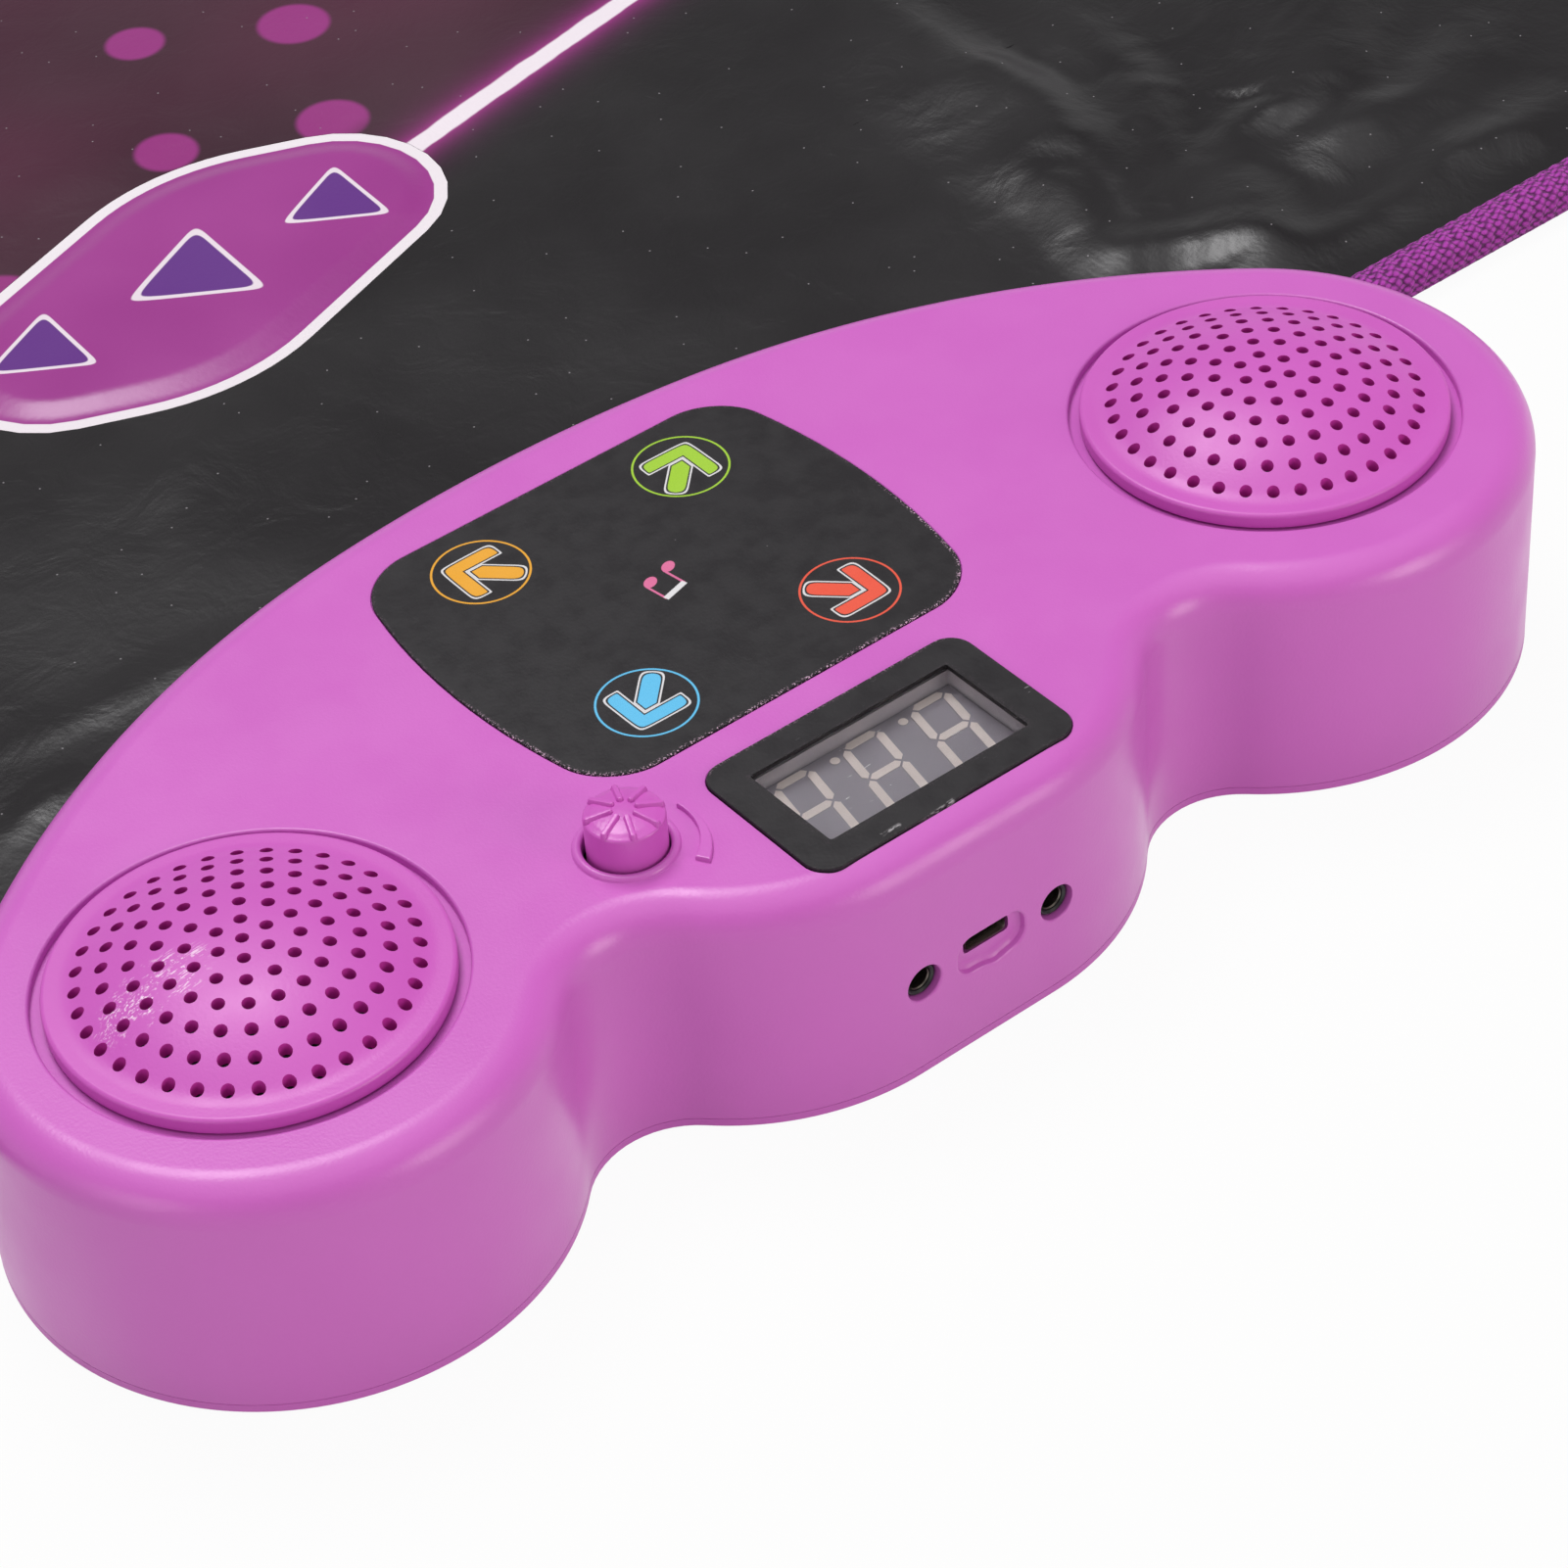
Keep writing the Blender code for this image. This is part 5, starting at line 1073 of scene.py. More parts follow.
class DANCEMAT_OT_shell(Operator):
    """Models the console's top shell with its seats and openings"""
    bl_idname = "dance_mat.shell"
    bl_label = "Console shell"

    def execute(self, context):
        props = context.scene.dance_mat
        sizes = props.console
        material = plastic_finish("orchid_plastic", tuple(props.finish.plastic)).material
        shell = piece("console_shell", self.hollow_body(sizes), material,
                      replaced=("console_top_shell",))
        self.add_collar(shell, sizes)
        self.add_mark(shell, sizes)
        self.cut_grille_seats(shell, props)
        self.cut_panel_and_display(shell, sizes)
        self.cut_knob_hole(shell, sizes)
        self.cut_sockets(shell)
        smooth_edges(shell)
        return {"FINISHED"}

    def hollow_body(self, sizes):
        """Rings over the rounded edge, down the walls, and up again inside."""
        lip = sizes.lip
        seam = 0.00004
        rings = [raised(console_outline(sizes, inset), z) for inset, z in
                 [(sizes.fillet - x, TOP - sizes.fillet + z) for x, z in
                  quarter((0.0, 0.0), sizes.fillet, pi / 2, 10)]]
        outer = console_outline(sizes)
        worn = lip * 0.15
        for inset, rise in ((0.0, worn), (worn * 0.3, worn * 0.3), (worn, 0.0), (sizes.wall, 0.0)):
            rings.append([Vector((x, y, self.foot(oy, seam) + rise)) for (x, y), (_, oy)
                          in zip(console_outline(sizes, inset), outer)])
        ceiling = TOP - sizes.wall
        inner = sizes.fillet - sizes.wall
        for x, z in quarter((0.0, 0.0), inner, pi / 2, 4)[::-1]:
            rings.append(raised(console_outline(sizes, sizes.wall + inner - x),
                                ceiling - inner + z))
        bm = bmesh.new()
        loft(bm, rings)
        return mesh_of(bm, "console_shell")

    def foot(self, y, seam):
        """Height of the shell's lower edge: it steps up where the mat comes in."""
        over_mat = MAT_BACK + 0.0025
        return MAT_T + 0.0022 if y < over_mat else SHELL_LOW.z - GAP + seam

    def add_collar(self, shell, sizes):
        """A raised ring with a rounded crown round the knob's hole."""
        inner = KNOB_R + 0.0003
        outer = inner + 0.0014
        crown = TOP + COLLAR_PROUD
        deep = TOP - sizes.wall / 2
        bead = (outer - inner) / 2
        profile = [(inner, deep), (inner, crown - bead)]
        profile += quarter((inner + bead, crown - bead), bead, pi, 4)
        profile += quarter((outer - bead, crown - bead), bead, pi / 2, 4)
        profile += [(outer + 0.0001, TOP), (outer + 0.0001, deep)]
        bm = bmesh.new()
        turned(bm, profile, COLLAR_PLACE, 72)
        carve(shell, bm, "UNION")

    def add_mark(self, shell, sizes):
        """The tapered mark that runs part of the way round the knob."""
        deep = TOP - sizes.wall / 2
        radius, width, proud = 0.0102, 0.0022, COLLAR_PROUD
        start, end, steps = radians(190), radians(121), 20
        rings = []
        for inset, z in ((0.0, deep), (0.0, TOP + proud * 0.6), (0.0001, TOP + proud * 0.9),
                         (0.00025, TOP + proud)):
            inner_edge, outer_edge = [], []
            for i in range(steps + 1):
                angle = start + (end - start) * i / steps
                broad = width * (0.24 + 0.76 * i / steps)
                trim = min(inset, broad * 0.4)
                nudge = trim / radius * (1 if i == 0 else -1 if i == steps else 0)
                angle -= nudge
                inner_edge.append((KNOB.x + (radius + trim) * cos(angle),
                                   KNOB.y + (radius + trim) * sin(angle)))
                outer_edge.append((KNOB.x + (radius + broad - trim) * cos(angle),
                                   KNOB.y + (radius + broad - trim) * sin(angle)))
            rings.append(raised(inner_edge + outer_edge[::-1], z))
        carve_loft(shell, rings, "UNION")

    def cut_grille_seats(self, shell, props):
        """A round seat with a soft lip, and the opening for the sound."""
        sizes, grille = props.console, props.grille
        lip = sizes.lip
        floor = TOP - grille.seat_depth
        high = TOP + 2 * COLLAR_PROUD
        opening = grille.dome_r + 0.0012
        low = TOP - 2 * sizes.wall
        profile = [(0.0, high), (grille.seat_r + lip, high), (grille.seat_r + lip, TOP)]
        profile += [(grille.seat_r + lip - x, TOP - lip + z)
                    for x, z in quarter((0.0, 0.0), lip, pi / 2, 4)][1:]
        profile += [(grille.seat_r, floor), (opening, floor), (opening, low), (0.0, low)]
        for side in (-1, 1):
            bm = bmesh.new()
            turned(bm, profile, (side * SPEAKER_X, CONSOLE_Y), 120)
            carve(shell, bm)

    def cut_panel_and_display(self, shell, sizes):
        """A seat for each film, with a slightly wider mouth, and the opening below the window."""
        high = TOP + 2 * COLLAR_PROUD
        tight = GAP * 0.5
        wide = tight + 0.00015
        seats = ((lambda grow: panel_outline(-grow), TOP - 0.0005),
                 (bezel_outline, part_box("display_window")[0].z - GAP))
        for outline, floor in seats:
            carve_loft(shell, [raised(outline(tight), floor), raised(outline(tight), TOP - 0.0001),
                               raised(outline(wide), TOP + 0.00005), raised(outline(wide), high)])
        margin = 0.0012
        half_x, half_y = GLASS_SIZE.x / 2 - margin, GLASS_SIZE.y / 2 - margin
        carve_block(shell, (-half_x, BEZEL_CENTER.y - half_y, TOP - 2 * sizes.wall),
                    (half_x, BEZEL_CENTER.y + half_y, high))

    def cut_knob_hole(self, shell, sizes):
        bm = bmesh.new()
        rod(bm, KNOB_R + 0.0003, TOP - 2 * sizes.wall, TOP + 4 * COLLAR_PROUD, COLLAR_PLACE, 72)
        carve(shell, bm)

    def cut_sockets(self, shell):
        """Two round wells, and a rounded recess with a finger notch below."""
        wall_y = SHELL_HIGH.y
        barrel_r = 0.003
        lip = 0.0004
        for label in ("left", "right"):
            jack = middle(f"audio_jack_{label}")
            profile = [(0.0, 0.004), (barrel_r + lip, 0.004), (barrel_r + lip, 0.0)]
            profile += [(barrel_r + lip - x, -lip + z)
                        for x, z in quarter((0.0, 0.0), lip, pi / 2, 5)][1:]
            profile += [(barrel_r, -0.004), (0.0, -0.004)]
            bm = bmesh.new()
            turned_in_wall(bm, profile, (jack.x, wall_y, jack.z), 40)
            carve(shell, bm)
        charger = middle("usb_socket")
        half_x, half_z = 0.0062, 0.0033
        recess = ((-0.0012, -0.0014), (-0.0005, -0.00125), (-0.0001, -0.0009), (0.0, -0.0005),
                  (0.0001, -0.0002), (0.0003, -0.00004), (0.0005, 0.0), (0.0005, 0.003))
        self.cut_recess(shell, recess, (charger.x, jack.z), (half_x, half_z), 0.0027)
        carve_block(shell, (charger.x - 0.0044, wall_y - 0.006, jack.z - 0.0008),
                    (charger.x + 0.0044, wall_y - 0.0009, jack.z + 0.0022), 0.0009)

    def scooped(self, x, z):
        """The lower edge dips in the middle, where a fingertip goes."""
        return z - (0.0007 * exp(-((x - 0.0009) / 0.0019) ** 2) if z < 0.0 else 0.0)

    def cut_recess(self, shell, profile, spot, half, corner):
        """Cuts a rounded opening into the back wall; the profile gives growth and depth."""
        rings = []
        for grow, depth in profile:
            outline = rounded_rectangle(half[0] + grow, half[1] + grow, corner + grow, (0, 0),
                                        8, 12)
            rings.append([Vector((spot[0] - x, SHELL_HIGH.y + depth, spot[1] + self.scooped(x, z)))
                          for x, z in outline])
        carve_loft(shell, rings)


class DANCEMAT_OT_base(Operator):
    """Models the console's base plate, seen as a thin band and from below"""
    bl_idname = "dance_mat.base"
    bl_label = "Console base"

    def execute(self, context):
        props = context.scene.dance_mat
        sizes = props.console
        material = plastic_finish("base_plastic", tinted(props.finish.plastic, 0.97),
                                  0.42).material
        step_under = MAT_T + GAP
        step_top = step_under + 0.0016
        floor_top = SHELL_LOW.z - GAP
        far = 1.0
        bm = bmesh.new()
        edge = 0.0003
        loft(bm, [raised(console_outline(sizes, edge), BASE_LOW),
                  raised(console_outline(sizes), BASE_LOW + edge),
                  raised(console_outline(sizes), step_top)])
        base = piece("base_plate", mesh_of(bm, "base_plate"), material,
                     replaced=("console_base",))
        carve_block(base, (-far, -far, -far), (far, MAT_BACK + 0.0006, step_under))
        carve_block(base, (-far, MAT_BACK + 0.0022, floor_top), (far, far, far))
        self.cut_underside(base, floor_top)
        smooth_edges(base)
        self.add_bay(material)
        return {"FINISHED"}

    def cut_underside(self, base, floor_top):
        """Openings for the battery door, round seats for feet and screws."""
        low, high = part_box("battery_door")
        carve_block(base, (low.x - GAP, low.y + 0.0016, -0.01), (high.x + GAP, high.y + GAP, 0.03))
        bm = bmesh.new()
        for number in range(1, 5):
            foot = middle(f"rubber_foot_{number}")
            screw = middle(f"housing_screw_{number}")
            rod(bm, span(f"rubber_foot_{number}").x / 2 + GAP, -0.01, floor_top - 0.0006,
                (foot.x, foot.y), 32)
            rod(bm, span(f"housing_screw_{number}").x / 2 + 2 * GAP, -0.01, floor_top + 0.01,
                (screw.x, screw.y), 24)
        carve(base, bm)

    def add_bay(self, material):
        """The tray round the cells, seen when the door is off."""
        low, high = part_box("battery_door")
        cells_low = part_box("battery_cell_1")[0]
        cells_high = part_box("battery_cell_3")[1]
        wall = 0.0014
        room_low = Vector((cells_low.x - 0.0006, cells_low.y - 0.002, 0.0))
        room_high = Vector((cells_high.x + 0.0006, cells_high.y + 0.002, cells_high.z + 0.0005))
        deck = SHELL_LOW.z - GAP + 0.0004
        bm = bmesh.new()
        tab_swing = joint("battery_cover_tilt")["pos_m"][1] + 0.0022
        block(bm, (low.x - wall, tab_swing, deck), (high.x + wall, high.y + wall, deck + wall))
        tray = bpy.data.objects.new("tray", mesh_of(bm, "battery_tray"))
        bpy.context.scene.collection.objects.link(tray)
        carve_block(tray, (room_low.x - wall, room_low.y - wall, deck + wall / 2),
                    (room_high.x + wall, room_high.y + wall, room_high.z + wall), 0.0006, "UNION")
        carve_block(tray, (room_low.x, room_low.y, -0.01), room_high, 0.0006)
        screw = middle("battery_door_screw")
        bm = bmesh.new()
        rod(bm, span("battery_door_screw").x / 2 + GAP, -0.01, 0.02, (screw.x, screw.y))
        carve(tray, bm)
        tray_mesh = tray.data.copy()
        bpy.data.objects.remove(tray)
        smooth_edges(piece("battery_tray", tray_mesh, material))


class DANCEMAT_OT_grilles(Operator):
    """Models the two perforated domes over the speakers"""
    bl_idname = "dance_mat.grilles"
    bl_label = "Speaker grilles"

    def execute(self, context):
        props = context.scene.dance_mat
        grille = props.grille
        material = grille_finish(tuple(props.finish.knob))
        # The walls of the sound holes get a darker, deeper purple than the dome: painted shade
        # inside the holes.
        bore = plastic_finish("grille_bore", (0.6, 0.04, 0.42), 0.4).material
        for side, label in ((-1, "left"), (1, "right")):
            node = f"speaker_grille_{label}"
            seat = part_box(node)[0].z
            center = (side * SPEAKER_X, CONSOLE_Y)
            bm = bmesh.new()
            turned(bm, self.profile(grille, seat), center, 120)
            dome = piece(f"grille_{label}", mesh_of(bm, f"grille_{label}"), (material, bore),
                         replaced=(node,))
            carve(dome, self.holes(grille, center, seat))
            smooth_edges(dome, 40.0)
        return {"FINISHED"}

    def dome_height(self, grille, radius):
        """The dome is steeper towards its foot than a ball would be."""
        return grille.dome_rise * (1.0 - (radius / grille.dome_r) ** 2.4)

    def profile(self, grille, seat):
        """Down over the dome, across the flange, round its edge and back underneath."""
        flat = seat + grille.thickness
        steps = 22
        blend = 0.0016
        points = []
        for i in range(steps + 1):
            radius = (grille.dome_r - blend) * i / steps
            points.append((radius, flat + self.dome_height(grille, radius)))
        foot = points[-1]
        for i in range(1, 5):
            share = i / 5
            curve = (1 - share) ** 2
            points.append((foot[0] + 2 * blend * share, flat + (foot[1] - flat) * curve))
        points.append((grille.dome_r + blend, flat))
        edge = 0.0007
        points += quarter((grille.radius - edge, flat - edge), edge, pi / 2, 6)
        points += [(grille.radius, seat + 0.0002), (grille.radius - 0.0002, seat)]
        points.append((grille.dome_r, seat))
        wall = 0.0021
        for i in range(10, -1, -1):
            radius = (grille.dome_r - wall) * i / 10
            points.append((radius, seat + (self.dome_height(grille, radius)
                                           + grille.thickness - wall)
                           * (1.0 if i < 10 else 0.9)))
        return points

    def holes(self, grille, center, seat):
        bm = bmesh.new()
        low, high = seat - 0.002, seat + grille.dome_rise + 0.004
        rod(bm, grille.hole_r, low, high, center, 16)
        for ring in range(1, grille.rings + 1):
            count = 6 * ring
            for i in range(count):
                angle = 2 * pi * i / count
                spot = (center[0] + ring * grille.pitch * cos(angle),
                        center[1] + ring * grille.pitch * sin(angle))
                rod(bm, grille.hole_r, low, high, spot, 16)
        # The hole walls take the darker second material: painted shade.
        for face in bm.faces:
            face.material_index = 1
        return bm


class DANCEMAT_OT_panel(Operator):
    """Models the printed arrow panel"""
    bl_idname = "dance_mat.panel"
    bl_label = "Arrow panel"

    def execute(self, context):
        finish = context.scene.dance_mat.finish
        low, high = (corner.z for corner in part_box("arrow_panel"))
        edge = 0.0001
        bm = bmesh.new()
        loft(bm, [raised(panel_outline(), low), raised(panel_outline(), high - edge)]
             + [raised(panel_outline(inset), high) for inset in (edge, 0.0006, 0.0012, 0.002)])
        mark_edge(bm, panel_outline())
        piece("arrow_film", mesh_of(bm, "arrow_film"), panel_finish(finish),
              replaced=("arrow_panel",))
        return {"FINISHED"}


def mark_edge(bm, outline):
    """Writes each vertex's distance from an outline, which materials read as edge."""
    layer = bm.verts.layers.float.new("edge")
    for vert in bm.verts:
        vert[layer] = nearest_on(outline, vert.co.x, vert.co.y)[0]


class DANCEMAT_OT_display(Operator):
    """Models the display: its bezel, window, face and digits"""
    bl_idname = "dance_mat.display"
    bl_label = "Display"

    def execute(self, context):
        finish = context.scene.dance_mat.finish
        self.add_bezel(finish)
        self.add_window()
        self.add_face()
        return {"FINISHED"}

    def add_bezel(self, finish):
        low, high = (corner.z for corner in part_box("display_bezel"))
        edge = 0.00012
        bm = bmesh.new()
        loft(bm, [raised(bezel_outline(), low), raised(bezel_outline(), high - edge)]
             + [raised(bezel_outline(-inset), high) for inset in (edge, 0.0006, 0.0012, 0.002)])
        mark_edge(bm, bezel_outline())
        bezel = piece("bezel_film", mesh_of(bm, "bezel_film"), bezel_finish(finish),
                      replaced=("display_bezel",))
        carve_loft(bezel, [raised(window_outline(), low - GAP),
                           raised(window_outline(), high + GAP)])

    def add_window(self):
        low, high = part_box("display_window")
        bm = bmesh.new()
        block(bm, low, high, 0.0001, 1)
        piece("clear_window", mesh_of(bm, "clear_window"), glass_finish(),
              replaced=("display_window",))

    def add_face(self):
        """The lighter face of the module, with three slanted figures of seven bars."""
        low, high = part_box("digit_display")
        bm = bmesh.new()
        block(bm, low, high, 0.0003)
        shade_low, shade_high = high.z - 0.0006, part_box("display_window")[0].z - GAP
        outline = rounded_rectangle(GLASS_SIZE.x / 2 - 0.0013, GLASS_SIZE.y / 2 - 0.0013, 0.0005,
                                    (0.0, BEZEL_CENTER.y), 2)
        room = rounded_rectangle(high.x + 0.0001, high.y - BEZEL_CENTER.y + 0.0001, 0.0003,
                                 (0.0, BEZEL_CENTER.y), 2)
        self.add_shade(outline, room, shade_low, shade_high)
        grey = mottled_finish("display_grey", (0.29, 0.265, 0.3), 0.55, (0.3, 0.27, 0.305),
                              (0.36, 0.33, 0.37), 0.006, 0.0005, 0.00002)
        piece("display_face", mesh_of(bm, "display_face"), grey,
              replaced=("digit_display",))
        bm = bmesh.new()
        pitch = 0.0127
        for number in (-1, 0, 1):
            self.add_figure(bm, number * pitch + 0.00025, BEZEL_CENTER.y - 0.00085, high.z)
            if number < 1:
                dot = (number * pitch + pitch / 2 - 0.002, BEZEL_CENTER.y - 0.0073)
                rod(bm, 0.00075, high.z - 0.0002, high.z + 0.00006, dot, 20)
        beige = mottled_finish("digit_beige", (0.72, 0.63, 0.6), 0.45, (0.76, 0.66, 0.62),
                               (0.86, 0.76, 0.72), 0.002)
        piece("display_digits", mesh_of(bm, "display_digits"), beige)

    def add_shade(self, outline, room, low, high):
        """A sleeve between the window and the module, made pale: painted light in the shaded well.
        """
        bm = bmesh.new()
        loft(bm, [raised(outline, low), raised(outline, high)])
        # Near-white, so that the well under the window reads lighter than its shade would let it:
        # painted light.
        made = Finish("display_shade", (0.72, 0.67, 0.71), 0.6)
        made.bump(made.noise(made.place(), 0.0005), 0.00002)
        shade = piece("display_shade", mesh_of(bm, "display_shade"), made.material)
        carve_loft(shade, [raised(room, low - GAP), raised(room, high + GAP)])

    def add_figure(self, bm, x, y, z):
        half_x, bar, lean = 0.0031, 0.0007, 0.19
        rise = 0.0075
        gap = 0.00028
        for level in (-1, 0, 1):
            height = y + level * rise
            self.add_bar(bm, (x - half_x + gap, height), (x + half_x - gap, height), bar, lean,
                         y, z)
        for side in (-1, 1):
            for level in (-1, 0):
                self.add_bar(bm, (x + side * half_x, y + level * rise + gap),
                             (x + side * half_x, y + (level + 1) * rise - gap), bar, lean, y, z)

    def add_bar(self, bm, a, b, half, lean, base_y, z):
        """A bar with pointed ends between two corners of a figure, leaning with it."""
        ax, ay = b[0] - a[0], b[1] - a[1]
        reach = hypot(ax, ay)
        ux, uy = ax / reach, ay / reach
        trim = half
        outline = [(0.0, 0.0), (trim, -half), (reach - trim, -half), (reach, 0.0),
                   (reach - trim, half), (trim, half)]
        points = [(a[0] + ux * along - uy * across, a[1] + uy * along + ux * across)
                  for along, across in outline]
        points = [(px + (py - base_y) * lean, py) for px, py in points]
        loft(bm, [raised(points, z - 0.0002), raised(points, z + 0.00006)])


class DANCEMAT_OT_knob(Operator):
    """Models the ribbed volume knob"""
    bl_idname = "dance_mat.knob"
    bl_label = "Volume knob"

    def execute(self, context):
        props = context.scene.dance_mat
        material = plastic_finish("knob_plastic", tuple(props.finish.knob), 0.33).material
        crown = KNOB_TOP
        edge = 0.0005
        radius = KNOB_R - 0.00012
        bm = bmesh.new()
        profile = [(radius * i / 12, crown + self.swell(radius * i / 12)) for i in range(11)]
        profile += quarter((radius - edge, crown - edge), edge, pi / 2, 5)
        profile += [(radius, KNOB_LOW + edge), (radius - edge, KNOB_LOW), (0.0, KNOB_LOW)]
        turned(bm, profile, (KNOB.x, KNOB.y), 96)
        knob = piece("knob_cap", mesh_of(bm, "knob_cap"), material, body="knob",
                     replaced=("volume_knob",))
        bm = bmesh.new()
        count = 8
        for i in range(count):
            angle = 2 * pi * i / count + radians(22.0)
            self.add_rib(bm, angle, crown)
        carve(knob, bm, "UNION")
        bm = bmesh.new()
        rod(bm, span("volume_shaft").x / 2 + GAP, KNOB_LOW - 0.001,
            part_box("volume_shaft")[1].z + GAP, (KNOB.x, KNOB.y), 32)
        carve(knob, bm)
        smooth_edges(knob, 28.0)
        return {"FINISHED"}

    def swell(self, radius):
        """How far the top bulges over its rim."""
        return 0.0009 * (1.0 - (radius / KNOB_R) ** 2)

    def add_rib(self, bm, angle, crown):
        """A rounded ridge that runs out from near the middle."""
        start, end, half, rise = 0.0016, 0.0058, 0.00045, 0.0006
        rings = []
        for inset, z in ((-0.0001, crown - 0.0004), (-0.0001, crown), (0.00002, crown + rise * 0.6),
                         (0.00012, crown + rise * 0.9), (0.00026, crown + rise)):
            outline = rounded_rectangle((end - start) / 2 - inset, half - inset,
                                        (half - inset) * 0.98, ((start + end) / 2, 0.0), 5)
            rings.append([Vector((KNOB.x + x * cos(angle) - y * sin(angle),
                                  KNOB.y + x * sin(angle) + y * cos(angle),
                                  z + self.swell(hypot(x, y)))) for x, y in outline])
        loft(bm, rings)


class DANCEMAT_OT_sockets(Operator):
    """Models the fronts of the two round sockets and the charging socket"""
    bl_idname = "dance_mat.sockets"
    bl_label = "Sockets"

    def execute(self, context):
        black = plastic_finish("black_moulding", (0.012, 0.011, 0.013), 0.35).material
        metal = metal_finish("socket_metal", (0.2, 0.18, 0.155))
        for label in ("left", "right"):
            self.add_jack(label, black, metal)
        low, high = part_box("usb_socket")
        self.add_charger(low, high, metal, black)
        return {"FINISHED"}

    def add_jack(self, label, black, metal):
        """A black barrel set back in its well, with the rim of its sleeve."""
        low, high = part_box(f"audio_jack_{label}")
        center = (low + high) / 2
        back = 0.0008
        face = high.y - back
        barrel, bore, deep = 0.0028, 0.00205, 0.011
        bm = bmesh.new()
        edge = 0.0003
        profile = [(bore, -deep), (bore, -edge), (bore + edge, 0.0), (barrel - edge, 0.0),
                   (barrel, -edge), (barrel, -deep)]
        turned_in_wall(bm, profile, (center.x, face, center.z), 48)
        half = (high.x - low.x) / 2
        block(bm, (center.x - half, low.y, low.z), (center.x + half, face - 0.0035, high.z), 0.0003)
        piece(f"jack_{label}", mesh_of(bm, f"jack_{label}"), black,
              replaced=(f"audio_jack_{label}",))
        bm = bmesh.new()
        profile = [(bore - 0.0003, -0.0032), (bore - 0.0003, -0.0006), (bore - 0.00015, -0.0004),
                   (bore - 0.00003, -0.0006), (bore - 0.00003, -0.0032)]
        turned_in_wall(bm, profile, (center.x, face, center.z), 40)
        piece(f"jack_ring_{label}", mesh_of(bm, f"jack_ring_{label}"), metal)

    def add_charger(self, low, high, metal, black):
        """A metal mouth with the tongue of its contacts."""
        center = (low + high) / 2
        half_x, half_z, skin = 0.0038, 0.0012, 0.0002
        rise = middle("audio_jack_left").z + 0.0007
        rings = []
        for inset, y in ((0.0, high.y - 0.006), (0.0, high.y - 0.0002), (skin * 0.5, high.y),
                         (skin, high.y - 0.0002), (skin, high.y - 0.006)):
            outline = rounded_rectangle(half_x - inset, half_z - inset, 0.00095 - inset, (0, 0), 6)
            rings.append([Vector((-x + center.x, y, rise + z)) for x, z in outline])
        bm = bmesh.new()
        loft(bm, rings)
        block(bm, (low.x, low.y, low.z), (high.x, high.y - 0.0058, high.z), 0.0003)
        piece("charge_mouth", mesh_of(bm, "charge_mouth"), metal,
              replaced=("usb_socket",))
        bm = bmesh.new()
        block(bm, (center.x - 0.0026, high.y - 0.0055, rise - 0.0001),
              (center.x + 0.0026, high.y - 0.0012, rise + 0.0006), 0.0001, 1)
        piece("charge_tongue", mesh_of(bm, "charge_tongue"), black)


# Mat

def nearest_on(outline, x, y):
    """The distance to a closed outline, and its nearest point."""
    best = None
    for (ax, ay), (bx, by) in around(outline):
        dx, dy = bx - ax, by - ay
        share = ((x - ax) * dx + (y - ay) * dy) / max(dx * dx + dy * dy, 1e-12)
        share = min(1.0, max(0.0, share))
        px, py = ax + dx * share, ay + dy * share
        gap = hypot(x - px, y - py)
        if best is None or gap < best[0]:
            best = (gap, px, py)
    return best


def is_inside(outline, x, y):
    inside = False
    for (ax, ay), (bx, by) in around(outline):
        if (ay > y) != (by > y) and x < ax + (bx - ax) * (y - ay) / (by - ay):
            inside = not inside
    return inside


def trim_to(bm, outline, cell):
    """Cuts a flat grid along an outline: nearby vertices move onto it, and the faces outside
    it go."""
    xs = [p[0] for p in outline]
    ys = [p[1] for p in outline]
    reach = cell * 1.5
    low = (min(xs) - reach, min(ys) - reach)
    high = (max(xs) + reach, max(ys) + reach)
    side = {}
    for vert in bm.verts:
        x, y = vert.co.x, vert.co.y
        if low[0] < x < high[0] and low[1] < y < high[1]:
            gap, px, py = nearest_on(outline, x, y)
            if gap < cell * 0.62:
                vert.co.x, vert.co.y = px, py
                side[vert] = 0
            else:
                side[vert] = 1 if is_inside(outline, x, y) else -1
        else:
            side[vert] = -1
    doomed = []
    for face in bm.faces:
        marks = [side[v] for v in face.verts]
        total = sum(marks)
        if total == 0:
            middle_point = face.calc_center_median()
            total = 1 if is_inside(outline, middle_point.x, middle_point.y) else -1
        if total <= 0:
            doomed.append(face)
    bmesh.ops.delete(bm, geom=doomed, context="FACES")


def step_pad_outline(name, inset, corner):
    if name == "start":
        return start_pad_outline(inset)
    low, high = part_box(f"step_pad_{name}")
    center = ((low.x + high.x) / 2, (low.y + high.y) / 2)
    return rounded_rectangle((high.x - low.x) / 2 - inset, (high.y - low.y) / 2 - inset,
                             corner - inset, center)


def ridged(place, sharpness):
    """Narrow crests where the noise crosses zero."""
    return max(0.0, 1.0 - abs(noise.noise(place)) * 2.4) ** sharpness


